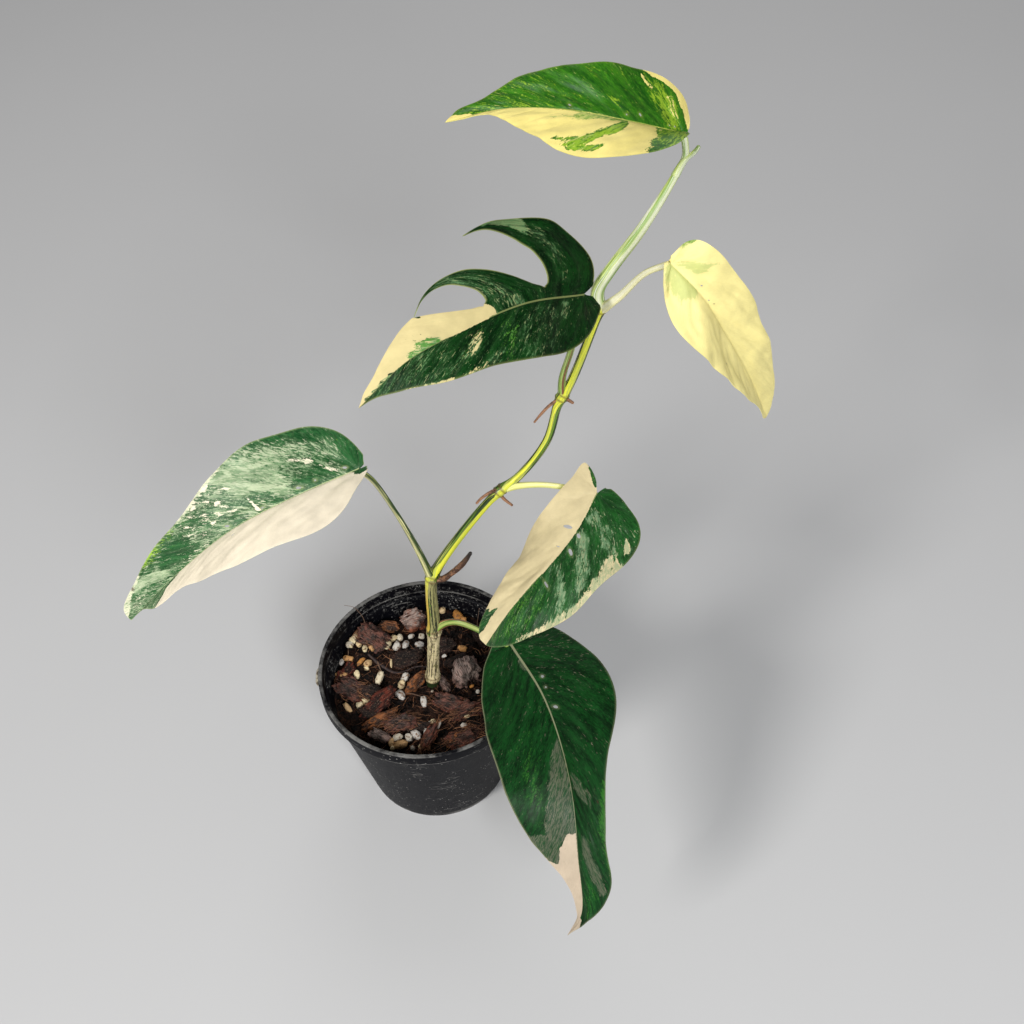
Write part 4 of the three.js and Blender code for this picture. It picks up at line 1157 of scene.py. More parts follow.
# Leaf blades: thin and leathery, each half folded up from the midrib and the margin waved. Sectors
# of green, grey-green and cream follow the side veins. Small holes beside the midrib are natural.
STATIONS = (0, 0, .08, .2, .35, .5, .65, .8, .92, 1)
BLADE_ROWS = 250
BLADE_COLUMNS = 36
LOBE_STEPS = 13
BLADE_THICKNESS = 0.0005
MARGIN_THICKNESS = 0.00028
MARGIN_WIDTH = 0.0012
RIB_DEPTH = 0.00035
RIB_HEIGHT = 0.0012
RIB_WIDTH = 0.0009
RIB_LINE = (0.0002, 0.0009)
VEIN_SPACING = 0.011
VEIN_WIDTH = 0.0009
BASE_FAN = 0.016
BASE_LEAN = 0.9
LEAN_GROWTH = 2.2
WEB_HEIGHT = 0.0048
LOBE_SHIFT = 0.3
OVERLAP = 0.004
RIM_WIDTH = 0.00045
WOBBLE = ((0.0045, 0.0009), (0.0016, 0.0004))
PLEAT_START = 0.006
PUCKER_START = 0.008
VEIN_END = 0.003
UNEVEN_CELL = 0.014
BLADE_CREASE = 60
STATION_STEPS = 4000
JOINED = 1e-5
PUCKERS = ((0.010, 0.0007), (0.0040, 0.00016))
MM = 0.001
# Each leaf: its midrib; the widths, folds and curl of its halves; the lean of its mesh rows; its
# roll; its wave; the depth of its pleats; its puckers at base and tip; how broad the midrib's line
# is; its gloss and slot; its colours (deep, fresh, lime, silver, cream, underside).
# Covers are shares of lime, silver and cream. The ground gives them for each part of the blade, and
# rim says how pale the margin is on each half. Patches, holes and spots are in millimetres of the
# flat leaf, along the midrib and across it, with the right half positive, and stay on their half. A
# patch has its covers, the softness of its edge and its outline; a hole is an oval with its heading.
LEAVES = {
    "top": {
        "midrib": [(.133, .060, .379), (.107, .051, .392), (.082, .048, .400), (.058, .049, .401),
                   (.034, .055, .393)],
        "right": ((.003, .004, .018, .024, .023, .019, .014, .007, .005, 0), (33, 10, 15), -1),
        "left": ((.001, .0015, .010, .020, .024, .021, .012, .003, .001, 0), (37, 8, 17), -5),
        "veins": (-76, -51, -34, -17, -1, 13, 24, 33, 44, 51),
        "roll": (13, 26, 18), "wave": (.0008, .031), "pleat": .0005, "pucker": (1.3, 1.2),
        "line": .5, "gloss": .3, "slot": "leaf_light",
        "paints": ("0f4804", "37780f", "93b62e", "86a650", "ecdb84", "7d9a4c"),
        "ground": [(.17, .1, 0), (0, 0, 1)], "rim": (.2, .2),
        "patches": [
            ((.5, .05, 0), 5, [(2, 0), (3, 12), (12, 19), (19, 21), (17, 12), (12, 4), (9, 0)]),
            ((.36, .16, .01), 8, [(54, 0), (62, 14), (80, 12), (100, 5), (100, 0)]),
            ((.62, .2, 0), 1, [(33, 7), (35.5, 8.3), (39.5, 9.4), (38.5, 8.4), (35.5, 7)]),
            ((0, 0, 1), 1.2, [(-6, 2), (-6, 12), (0, 22), (12, 26), (24, 25.4), (20, 23.4), (15, 21.6),
                (10.4, 19.4), (6, 17), (2.4, 14), (0, 10.2), (-1.4, 6), (-2.4, 2)]),
            ((.55, .1, .42), 1.6, [(2, 3), (4.4, 5), (7.4, 10), (10, 15), (8, 14.6), (4.4, 11), (2, 7)]),
            ((.3, .05, .55), 1.6, [(13, 14), (17, 19), (21, 22.6), (22, 21), (18, 16), (14, 12.6)]),
            ((.5, .1, .03), 2, [(-6, 0), (9, 0), (13, -4), (18, -9.6), (24, -16), (29, -22.4), (29, -26),
                (-6, -26)]),
            ((.45, .35, .3), 1.8, [(9, 0), (14, 0), (20, -9), (25, -16), (29, -22), (26, -20), (19, -12),
                (13, -5)]),
            ((.6, .35, .2), 2, [(29, -1.5), (33, -3.5), (43, -9), (52, -13.6), (60, -17.6), (57, -18.6),
                (50, -17), (43, -13.6), (34, -9.6), (30.5, -5)]),
            ((.6, .35, .2), 1.5, [(42, -17.4), (50, -17), (58, -18.8), (53, -20.4), (45, -19.6)]),
            ((.5, .5, .2), 1.6, [(50, -14), (58, -16), (63, -15.6), (60, -14.6), (54, -12.6)]),
            ((.45, .75, .42), 2, [(28, 0), (44, 0), (54, -2.4), (66, -4.6), (62, -4.8), (48, -3.6),
                (38, -3.4), (31, -2.6)]),
            ((0, 0, 1), .6, [(88, 0), (95, .5), (100, 1.4), (104, 2.4), (108, 2.6), (112, 0)]),
        ],
        "holes": [(4.5, 2, .5, .4, 0), (7.5, 2, .5, .35, 20), (23, 3.4, .9, .5, 40),
                  (29.5, 2.4, .6, .35, 0), (54.5, 2, .6, .4, 30)],
        "spots": [],
    },
    "split": {
        "midrib": [(.088, .017, .331), (.061, -.008, .347), (.037, -.026, .350), (.015, -.038, .346),
                   (-.005, -.045, .330)],
        "right": ((.005, .011, .018, .022, .023, .019, .014, .008, .004, 0), (9, 11, 10), -10),
        "left": ((.005, .010, .017, .023, .023, .019, .017, .010, .003, 0), (4, 10, 10), -14),
        "veins": (-73, -53, -35, -13, 3, 16, 26, 36, 47, 51),
        "roll": (45, 36, 36), "wave": (.0007, .037), "pleat": .0002, "pucker": (.7, .7),
        "line": .5, "gloss": .08, "slot": "leaf_dark",
        "paints": ("021405", "0f3d13", "528a34", "6c9563", "d2c28c", "5d7d55"),
        "lobes": [
            {
                "rear": [(0, 0), (-.007, .003), (-.0115, .010), (-.011, .017), (-.005, .025), (.006, .032),
                         (.023, .036), (.038, .036), (.052, .0335)],
                "front": [(.024, 0), (.0245, .0048), (.0215, .007), (.0205, .011), (.022, .017), (.026, .023),
                          (.034, .0295), (.043, .033), (.052, .0335)],
                "columns": 40,
            },
            {
                "rear": [(.024, 0), (.0245, .0048), (.031, .0075), (.040, .0125), (.050, .018),
                         (.059, .0215), (.069, .0217), (.078, .0188), (.085, .013)],
                "front": [(.057, 0), (.0575, .0048), (.0555, .007), (.057, .0115), (.0615, .0155),
                          (.067, .0185), (.074, .019), (.080, .017), (.085, .013)],
                "columns": 50,
            },
            {
                "rear": [(.057, 0), (.0575, .0048), (.063, .0062), (.069, .008), (.075, .0098),
                         (.081, .0116), (.086, .013)],
                "front": [(.123, 0), (.118, .0024), (.110, .0044), (.102, .007), (.096, .0094),
                          (.091, .0115), (.086, .013)],
                "columns": 96,
            },
        ],
        "ground": [(.04, .08, 0), (.03, .15, 0), (0, 0, 1), (.12, .08, 0)], "rim": (.95, .5),
        "patches": [
            ((.02, 0, 0), 7, [(-14, -16), (-14, 22), (2, 24), (14, 14), (18, 0), (14, -14), (4, -18)]),
            ((0, .9, .2), .8, [(21, 30), (23.5, 38), (32, 40), (42, 38), (54, 34), (40, 35.3), (33, 34),
                (28, 31.6), (23.5, 29.4)]),
            ((.04, .3, 0), 3, [(6, 6), (8, 20), (18, 32), (24, 30), (17, 20), (12, 6)]),
            ((.05, .36, .03), 2, [(37, 0), (40, 6), (48, 12), (56, 18), (66, 22.5), (70, 20.6),
                (61, 16.6), (55, 11), (53, 0)]),
            ((.04, .4, .04), 1.5, [(60, 16.4), (66, 22), (80, 18), (86, 13), (84, 12.4), (76, 18.6),
                (67, 19)]),
            ((0, 0, 1), .8, [(52, 0), (54, 3), (57, 6), (60, 4), (60, 0)]),
            ((.95, .45, .36), 1.8, [(78, 0), (80, 1.6), (85, 3.6), (90, 5.4), (91, 3.6), (94, 3), (97, 0)]),
            ((.1, .45, .5), .8, [(94, 0), (104, 1.1), (118, 1.6), (124, 0)]),
            ((.04, .5, 0), 2, [(11, -1.2), (13, -6), (18, -10), (21, -8), (17, -2)]),
            ((.08, .3, .03), 4, [(20, -4), (24, -14), (34, -22), (50, -23), (56, -16), (46, -6), (34, -2)]),
            ((.35, .16, .05), 4, [(46, -2), (50, -12), (58, -20), (64, -17), (58, -8), (54, -2)]),
            ((.1, .3, .08), 3, [(74, 0), (78, -5), (80, -9), (76, -13), (80, -17), (92, -14), (106, -8),
                (124, 0)]),
            ((.3, .3, .46), 2.4, [(62, -2), (70, -4), (77, -8.4), (80, -12), (73, -11.6), (66, -8)]),
            ((.1, .4, .36), 1.6, [(58, -13), (66, -14), (73, -15.4), (80, -15.8), (78, -18), (64, -18.4),
                (60, -15.6)]),
            ((.1, .4, .6), .8, [(84, -15), (100, -10), (110, -5.4), (122, -1.2), (124, -1.4),
                (112, -7.4), (100, -12), (84, -18)]),
        ],
        "holes": [],
        "spots": [(48, 9.8, .35)],
    },
    "cream": {
        "midrib": [(.122, .003, .355), (.135, -.001, .341), (.147, 0, .319), (.160, .004, .292),
                   (.173, .012, .258)],
        "right": ((.002, .003, .010, .018, .018, .015, .012, .007, .005, 0), (11, 21, 23), -7),
        "left": ((.002, .003, .016, .017, .018, .016, .015, .011, .006, 0), (7, 19, 26), -8),
        "veins": (-77, -50, -30, -8, 2, 11, 21, 31, 42, 50),
        "roll": (-53, -58, -69), "wave": (.0006, .029), "pleat": .0003, "pucker": (2.6, .5),
        "line": .2, "gloss": .2, "slot": "leaf_cream",
        "paints": ("5c8230", "7c9a44", "b0bd55", "a3b868", "eee096", "dcd48e"),
        "ground": [(0, 0, 1), (0, 0, 1)], "rim": (0, 0),
        "patches": [
            ((.25, .85, .86), 3, [(2, -1.5), (8, -2), (12, -4), (14, -13), (10, -10), (6, -7), (3, -4)]),
            # Grey-green at the base of the right half: partly the leaf's own tint, partly painted shade of
            # its ripples.
            ((.2, .85, .84), 4, [(-3, 0), (0, 5), (8, 9), (14, 8), (18, 3), (14, 0)]),
            ((.35, .7, .5), 1, [(-3, -6), (-1, -7), (0, -10.5), (1.6, -13), (0, -15.5), (-3, -13),
                (-5, -9)]),
            ((.3, .5, .3), 1.2, [(-2, -10.5), (0, -10.5), (1.6, -13), (0, -15.5), (-3, -13)]),
        ],
        "holes": [(16.2, -2.4, .6, .3, -40), (23.3, -1, .6, .25, -30)],
        "spots": [(26.5, -2, .3), (52.8, 9.4, .45)],
    },
    "left": {
        "midrib": [(-.016, -.008, .259), (-.044, -.022, .258), (-.072, -.031, .249), (-.101, -.036, .227),
                   (-.131, -.038, .196)],
        "right": ((.003, .007, .023, .030, .029, .021, .018, .014, .011, 0), (24, 22, 28), 1),
        "left": ((.004, .005, .015, .029, .026, .021, .012, .009, .001, 0), (28, 24, 21), -11),
        "veins": (-74, -42, -20, -2, 4, 17, 20, 34, 54, 62),
        "roll": (10, 14, 32), "wave": (.001, .034), "pleat": .0001, "pucker": (1.2, .15),
        "line": .45, "gloss": .2, "slot": "leaf_dark",
        "paints": ("0c3c18", "2b6433", "96bf30", "b2c49c", "f8ebd2", "7d9a70"),
        "ground": [(.06, .42, .06), (0, 0, 1)], "rim": (.35, .3),
        "patches": [
            ((.02, .12, 0), 3, [(-6, 0), (-6, 12), (0, 18), (5, 12), (6, 6), (5, 0)]),
            ((.03, .5, .08), 4, [(8, 12), (12, 26), (28, 32), (40, 32), (44, 24), (34, 14), (20, 10)]),
            ((.02, .72, .12), 5, [(32, 3), (34, 16), (44, 28), (62, 27), (66, 18), (56, 9), (50, 0)]),
            ((.03, .25, .02), 2.5, [(9, 0), (12, 5), (20, 8.6), (28, 9.6), (32, 5), (30, 0)]),
            ((.03, .4, 0), 2.5, [(36, 0), (38, 6), (45, 9.6), (54, 11.6), (58, 9.6), (52, 5), (46, 0)]),
            ((.1, .4, .74), 1.8, [(17, 10.8), (21, 11.8), (27, 14.8), (28.5, 17.5), (22, 15.3), (18, 13)]),
            ((.1, .4, .6), 1.8, [(7, 2.6), (11, 4), (15, 6.6), (17.5, 9), (14, 8), (10, 5.5)]),
            ((0, .3, .85), .8, [(48.4, 1.4), (49.4, 2), (50.6, 8.4), (49.6, 9), (48.6, 6)]),
            ((.03, .2, .02), 5, [(-4, 10), (0, 20), (10, 28), (24, 33), (42, 33), (40, 27), (24, 25),
                (10, 18)]),
            ((.04, .42, .3), 3, [(52, 7), (57, 18), (64, 25), (74, 21), (80, 13), (66, 6)]),
            *[((.05, .3, .72), .8, outline) for outline in (
                [(61.4, 8.7), (59.5, 8.5), (57.4, 7.4), (56.7, 6.4), (58.3, 6.6), (60.6, 7.9)],
                [(63.8, 12.2), (61.9, 12.3), (60, 11.4), (59.3, 10.5), (60.8, 10.4), (63, 11.4)],
                [(65.4, 14.3), (64, 14.9), (62.4, 14.4), (61.8, 13.6), (63, 13.1), (64.8, 13.6)],
                [(68.5, 11.1), (66.9, 10.8), (65.2, 9.8), (64.7, 8.8), (66.1, 9), (68, 10.3)],
                [(70.4, 17.9), (68.5, 17.8), (66.4, 16.9), (65.6, 16), (67.2, 16.1), (69.6, 17.1)],
                [(74.6, 13.9), (73, 13.7), (71.2, 12.8), (70.6, 12), (72, 12.2), (73.9, 13.2)],
                [(67.8, 21.6), (66.1, 22.9), (63.5, 23.7), (62.1, 23.5), (63.7, 22.4), (66.5, 21.6)],
                [(77.6, 18.4), (75.8, 18.9), (73.4, 18.8), (72.4, 18.3), (74, 17.9), (76.6, 18)],
                [(59, 18.9), (57.4, 18.2), (55.6, 16.9), (55.1, 16), (56.4, 16.6), (58.3, 18.1)],
                [(71.7, 7.8), (70.3, 7.9), (68.8, 7.2), (68.3, 6.5), (69.5, 6.5), (71.1, 7.2)],
                [(81.4, 15.8), (79.6, 15.9), (77.5, 15.5), (76.7, 14.9), (78.1, 14.8), (80.5, 15.4)],
            )],
            ((.08, .4, .26), 4, [(66, 0), (74, 14), (82, 19), (98, 16), (102, 6), (98, 0)]),
            ((.1, .2, .08), 3, [(84, 4), (86, 12), (94, 14), (104, 12), (106, 6), (98, 3)]),
            ((0, .6, .6), 1.2, [(54, 30), (68, 24.6), (80, 20.4), (95, 19.4), (96, 17.4), (80, 18),
                (68, 21.6), (56, 26)]),
            ((.56, .3, .06), 5, [(88, 20), (92, 16.6), (99, 15.4), (104, 12.6), (111, 11.4), (120, 13),
                (112, 18), (102, 20)]),
            ((.03, .8, .2), 1.5, [(103, 3), (110, 7.6), (120, 9.6), (131, 9.6), (127, 6.4), (115, 5),
                (108, 2.6)]),
            ((0, .7, .6), 1, [(119, 10.4), (119, 14), (131, 12.5), (141, 9), (147, 3), (143, .9),
                (138, 4), (128, 8.6)]),
            ((0, .5, .3), 1.5, [(118, 4.4), (128, 5.6), (138, 3.6), (134, 1.2), (124, 2)]),
            ((.04, .4, .08), 1, [(94, 0), (100, -.9), (106, -2.2), (112, -4.2), (117, -6.4), (124, -8.4),
                (136, -6), (150, -3), (150, 0)]),
            ((0, .05, 0), 1, [(-7, 0), (4, 0), (3.6, -3.4), (1.8, -5.6), (-1.2, -4.8), (-3.4, -2.8),
                (-7, -2)]),
        ],
        "holes": [(5.5, 3, 1.1, .6, 20), (20.3, 2.8, .6, .4, 0), (28.3, 2.7, 1.4, .55, 20),
                  (46.5, 1.8, 1, .4, -10), (64.8, 2.6, 1.3, .5, 30), (63, -4.3, 1.2, .5, -35)],
        "spots": [(127.5, 9.6, 1.1)],
    },
    "folded": {
        "midrib": [(.094, .006, .219), (.081, -.014, .212), (.066, -.028, .203), (.050, -.038, .189),
                   (.036, -.042, .166)],
        "right": ((.006, .017, .017, .020, .025, .022, .017, .014, .009, 0), (8, -8, 14), -21),
        "left": ((.005, .007, .018, .030, .027, .026, .020, .013, .006, 0), (8, -3, 10), -14),
        "veins": (-60, -43, -27, -12, 2, 14, 24, 32, 44, 53),
        "roll": (8, -5, 15), "wave": (.0008, .030), "pleat": .0001, "pucker": (1.1, .9),
        "line": .4, "gloss": .2, "slot": "leaf_cream",
        "paints": ("082c0d", "1d5620", "54902f", "7a9a74", "d2c298", "6f8f60"),
        "ground": [(0, 0, 1), (.1, .2, .02)], "rim": (.3, .3),
        "patches": [
            ((.3, .3, 0), 1, [(-16, 6), (-12, 10.5), (-9.6, 10), (-5, 5.4), (-2.6, 2), (-4, 1), (-8, 3)]),
            ((.03, .3, .02), .8, [(78, 6.8), (81, 8.6), (85, 9.6), (83.6, 11.4), (87, 13), (87, 16),
                (100, 10), (98, 6), (93.6, 5.4), (88, 6.8), (83, 5.8)]),
            ((.02, .04, 0), 3, [(-8, 0), (-8, -30), (12, -34), (10, -16), (6, -4), (5, 0)]),
            ((.03, .6, 0), 2, [(8, -2), (10, -7), (16, -9), (17, -4), (15, -1.2)]),
            ((.04, .45, .04), 2.5, [(12, -8), (16, -16), (24, -24), (28, -22), (22, -13), (17, -7)]),
            ((.03, .6, .03), 2, [(20, -2), (24, -9), (32, -16), (40, -22), (46, -21), (39, -13),
                (30, -6), (24, -1.4)]),
            ((.1, .45, .1), 2, [(40, -3), (43, -9), (48, -15), (54, -21), (59, -21.5), (54, -15),
                (48, -9), (44, -4)]),
            ((0, .6, .3), 1, [(45, -12), (50, -17), (56, -21), (59, -21.5), (54, -17), (48, -11)]),
            ((.35, .2, .07), 4, [(48, 0), (56, -12), (66, -16), (80, -10), (94, -3), (92, 0)]),
            ((0, .5, .85), .8, [(15.4, -22.8), (19, -23.8), (22, -26.6), (20.5, -28.6), (17.4, -26.4)]),
            ((.02, .55, .7), 3, [(21.6, -19), (27, -20.6), (33, -22), (40, -22.8), (46, -23.2),
                (52, -22.6), (58, -21), (64, -18.6), (70, -16.6), (78, -14), (64, -25), (52, -28),
                (40, -30), (30, -31), (25.4, -30), (24, -24)]),
            ((.1, .5, .3), 1, [(72, -16), (80, -13.8), (90, -8.2), (96, -3.4), (98, -4), (90, -10),
                (78, -17)]),
        ],
        "holes": [(22.3, 4.6, 2.4, 1, 80), (33.5, 3, 1.2, .35, 80), (24, -2.6, 1.5, .8, -55),
                  (32.6, -4.4, 2.1, .8, -60), (51.2, -5.6, 2, .5, -75)],
        "spots": [],
    },
    "hanging": {
        "midrib": [(.048, -.016, .130), (.064, -.056, .135), (.073, -.096, .127), (.075, -.127, .105),
                   (.075, -.144, .080), (.068, -.150, .072)],
        "right": ((.005, .012, .024, .033, .034, .032, .024, .008, .003, 0), (-5, 22, 4), -4),
        "left": ((.006, .015, .025, .031, .037, .024, .018, .016, .005, 0), (-6, 24, 3), -21),
        "veins": (-53, -37, -25, -8, 2, 7, 11, 8, 27, 40),
        "roll": (-23, -30, -23), "wave": (.001, .042), "pleat": .0003, "pucker": (1, .8),
        "line": 1, "gloss": .14, "slot": "leaf_dark",
        "paints": ("021a07", "13471b", "2e6823", "304431", "bfae98", "5d7f55"),
        "ground": [(.06, .12, 0), (.04, .14, 0)], "rim": (.9, .35),
        "patches": [
            ((.3, .06, 0), 7, [(50, 12), (58, 24), (90, 26), (108, 20), (108, 15), (86, 12.6), (66, 9)]),
            ((.02, .8, .05), 1, [(9, 0), (12, 2.4), (21, 2), (22, 0)]),
            ((0, .3, 0), 4, [(4, 3), (8, 14), (18, 16), (20, 8), (12, 3)]),
            ((.02, .78, .03), 1.2, [(60, 0), (66, 3.4), (75, 7.6), (84, 10), (95, 12.6), (105, 14.4),
                (111, 16), (111.5, 22), (112, 26), (120, 22), (127, 13), (129, 8), (118, 8), (112, 4.4),
                (111, 0)]),
            ((0, .1, 1), .8, [(109, 0), (112, 4.6), (118, 7.4), (123, 9.4), (126.5, 9.6), (124.6, 14),
                (120, 20), (124, 22), (132, 13), (150, 7), (170, 4), (170, 0)]),
            ((0, .1, 1), .8, [(152, 0), (156, -1.4), (162, -3), (170, -6), (170, 0)]),
            ((.02, .26, .01), 6, [(0, -3), (4, -20), (20, -28), (50, -34), (52, -14), (40, -4)]),
            ((.03, .8, .05), 1.6, [(82, -1.2), (90, -3), (97, -7.6), (100, -12), (95, -12.6), (89, -8),
                (84, -4)]),
            ((.03, .85, .05), 1.6, [(112, -3), (120, -3), (127, -4.8), (134, -6.8), (141, -9.6),
                (139, -13.4), (130, -12), (120, -8.4), (113, -6)]),
            ((.6, .12, .02), 3, [(87, -23), (92, -19.4), (100, -16.4), (107, -14.6), (113, -14.2),
                (122, -15.6), (131, -16.2), (134, -19), (112, -21), (98, -24)]),
            ((.5, 0, 0), 2, [(94, -10.4), (104, -11.6), (114, -13), (116, -12.2), (104, -10.6)]),
            ((.35, .1, .02), 2, [(132, -1.2), (136, -6), (142, -9.4), (150, -6), (156, -3), (150, -1.2)]),
        ],
        "holes": [(30.5, -4.6, 1.2, .7, -20), (37, -3.4, .8, .5, -30), (49.3, -3.9, 1.7, .7, -45)],
        "spots": [(97.4, -16.2, .5)],
    },
}


def vein_place(x, y, length):
    """Where the side vein through a flat place leaves the midrib, and its length up to there. Veins
    run straight and lean forward, more so towards the tip: x = u + (b + g u / L) |y|. Those of the
    base, where that gives less than zero, fan out from the end of the stalk."""
    width = np.abs(y) + 1e-6
    root = (x - BASE_LEAN * width) / (1 + LEAN_GROWTH * width / length)
    fan = -BASE_FAN * (BASE_LEAN - np.clip(x / width, -3, BASE_LEAN))
    root = np.where(root < 0, fan, root)
    return root, np.hypot(x - np.maximum(root, 0), y)


def whole_half(leaf, side, length, shares):
    """Flat places of half a blade, rows along the midrib by columns out to the margin. A row leaves
    the midrib at its station and leans forward by the angle of the side vein there."""
    reach = np.maximum(along(leaf["right" if side > 0 else "left"][0], shares), 0)[:, None]
    part = np.linspace(0, 1, BLADE_COLUMNS)[None]
    lean = np.radians(along(leaf["veins"], shares))[:, None]
    station = np.maximum(along(STATIONS, shares), 0)[:, None] * length
    x = station + reach * part * np.sin(lean)
    y = side * reach * part * np.cos(lean)
    return x, y, *vein_place(x, y, length), reach * (1 - part)


def lobe_edge(points, share):
    """Smooth edge of a lobe through its points, with the first stretch, across the web, straight."""
    straight = np.clip(share * (len(points) - 1), 0, 1)[:, None]
    first = np.array(points[0]) * (1 - straight) + np.array(points[1]) * straight
    return np.where(straight < 1, first, along(points, share))


def lobe(part):
    """Flat places of a lobe, rows from the midrib to its tip by columns from its rear edge to its
    front edge, straight across between the two."""
    share = np.linspace(0, 1, LOBE_STEPS * (len(part["rear"]) - 1) + 1)
    rear, front = (lobe_edge(part[edge], share)[:, None] for edge in ("rear", "front"))
    across = np.linspace(0, 1, part["columns"])[None, :, None]
    place = rear + (front - rear) * across
    x, y = place[..., 0], place[..., 1]
    width = np.linalg.norm(front - rear, axis=-1)
    root = part["rear"][0][0] + (part["front"][0][0] - part["rear"][0][0]) * across[..., 0] + 0 * x
    middle = ((rear + front) / 2)[:, 0]
    run = np.r_[0, np.cumsum(np.linalg.norm(np.diff(middle, axis=0), axis=1))][:, None]
    side = np.minimum(across[..., 0], 1 - across[..., 0]) * width
    margin = np.where(y > WEB_HEIGHT, side, MARGIN_WIDTH * 3)
    return x, y, root + LOBE_SHIFT, run + 0 * x, margin


def flat_sheet(leaf, length):
    """The whole blade laid flat: places, the midrib place and the length of the vein through each,
    the distance to the margin, the ground cover, and triangles. Places shared by two parts are
    joined, and keep what the first part has there."""
    if "lobes" in leaf:
        dense = np.linspace(0, 1, STATION_STEPS)
        rising_part = dense >= 1 / (len(STATIONS) - 1)
        station = np.maximum(along(STATIONS, dense[rising_part]), 0) * length
        roots = [np.linspace(part["rear"][0][0], part["front"][0][0], part["columns"])[1:]
                 for part in leaf["lobes"]]
        fan = np.linspace(0, dense[rising_part][0], BLADE_COLUMNS)
        shares = np.r_[fan, np.interp(np.concatenate(roots), station, dense[rising_part])]
        shares[-1] = 1
        parts = [lobe(part) for part in leaf["lobes"]]
        x, y, _, _, margin = parts[-1]
        parts[-1] = (x, y, *vein_place(x, y, length), margin)
    else:
        shares = np.linspace(0, 1, BLADE_ROWS)
        parts = [whole_half(leaf, 1, length, shares)]
    parts.append(whole_half(leaf, -1, length, shares))
    lists, faces, count = [], [], 0
    for part, ground in zip(parts, leaf["ground"]):
        rows, columns = part[0].shape
        tints = [np.full(rows * columns, tint) for tint in ground]
        lists.append(np.column_stack([values.ravel() for values in part] + tints))
        cells = grid_faces(rows, columns) + count
        a, b, c = (lists[-1][cells[:, k] - count, :2] for k in range(3))
        turn = np.cross(b - a, c - a)
        cells[turn > 0] = cells[turn > 0][:, ::-1]
        faces.append(cells)
        count += rows * columns
    flat, faces = np.concatenate(lists), np.concatenate(faces)
    _, first, mark = np.unique(np.round(flat[:, :2] / JOINED), axis=0, return_index=True, return_inverse=True)
    faces = mark.ravel()[faces]
    faces = faces[(np.diff(np.sort(faces, axis=1), axis=1) > 0).all(axis=1)]
    return flat[first], faces


def depth_inside(outline, x, y):
    """Distance inside a closed outline, negative outside. The nearest point of each side is found
    by its share along the side, and a ray to the right counts the sides that it crosses."""
    start = outline
    side = np.roll(start, -1, axis=0) - start
    dx, dy = x[:, None] - start[:, 0], y[:, None] - start[:, 1]
    share = np.clip((dx * side[:, 0] + dy * side[:, 1]) / (side**2).sum(axis=1), 0, 1)
    distance = np.hypot(dx - share * side[:, 0], dy - share * side[:, 1]).min(axis=1)
    with np.errstate(divide="ignore", invalid="ignore"):
        crossing = (dy >= 0) != (dy >= side[:, 1])
        crossed = crossing & (dx < side[:, 0] * dy / side[:, 1])
    return np.where(crossed.sum(axis=1) % 2 == 1, distance, -distance)


def pierced(leaf, flat, faces):
    """Opens the holes, which are ovals: triangles whose middle lies inside an oval go, and the
    corners that they shared with the rest move onto it. Also gives the brown of the spots."""
    for x, y, long, wide, turn in leaf["holes"]:
        x, y, long, wide = np.array((x, y, long, wide)) * MM
        heading = np.radians(turn)
        dx, dy = flat[:, 0] - x, flat[:, 1] - y
        u = (dx * np.cos(heading) + dy * np.sin(heading)) / long
        v = (dy * np.cos(heading) - dx * np.sin(heading)) / wide
        away = np.maximum(np.hypot(u, v), 1e-3)
        inside = np.hypot(u[faces].mean(axis=1), v[faces].mean(axis=1)) < 1
        rim = np.intersect1d(faces[inside], faces[~inside])
        faces = faces[~inside]
        flat[rim, 0] = x + dx[rim] / away[rim]
        flat[rim, 1] = y + dy[rim] / away[rim]
        to_rim = np.maximum(away - 1, 0) * wide
        to_rim[rim] = 0
        flat[:, 4] = np.minimum(flat[:, 4], to_rim)
    scar = np.zeros(len(flat))
    for x, y, radius in np.array(leaf["spots"]).reshape(-1, 3) * MM:
        scar = np.maximum(scar, np.exp(-(np.hypot(flat[:, 0] - x, flat[:, 1] - y) / radius) ** 4))
    return flat, faces, scar


def bent(leaf, x, y):
    """Bends the flat blade over its midrib. The frame at each place is rolled about the midrib; each
    half starts at its fold angle and turns at an even rate out to its curl, so a point at reach r
    lies (sin(f + c r) - sin f) / c out and (cos f - cos(f + c r)) / c up. The wave is added by the
    square of the reach."""
    route = smooth_route(leaf["midrib"])
    length = route[1][-1]
    widest = max(leaf["right"][0] + leaf["left"][0])
    share = ramp(x, length)
    place, heading = followed(route, share * length)
    flat_side = np.cross(heading, (0, 0, 1))
    flat_side /= np.linalg.norm(flat_side, axis=-1, keepdims=True)
    flat_up = np.cross(flat_side, heading)
    turn = np.radians(along(leaf["roll"], share))[..., None]
    side = flat_side * np.cos(turn) + flat_up * np.sin(turn)
    up = flat_up * np.cos(turn) - flat_side * np.sin(turn)
    fold = np.radians(np.where(y > 0, along(leaf["right"][1], share), along(leaf["left"][1], share)))
    rate = np.radians(np.where(y > 0, leaf["right"][2], leaf["left"][2])) / widest
    reach = np.abs(y)
    out = (np.sin(fold + rate * reach) - np.sin(fold)) / rate
    lift = (np.cos(fold) - np.cos(fold + rate * reach)) / rate
    height, wavelength = leaf["wave"]
    lift = lift + height * np.sin(2 * np.pi * x / wavelength) * (reach / widest) ** 2
    onward = (x - share * length)[..., None]
    return place + heading * onward + side * (np.sign(y) * out)[..., None] + up * lift[..., None]


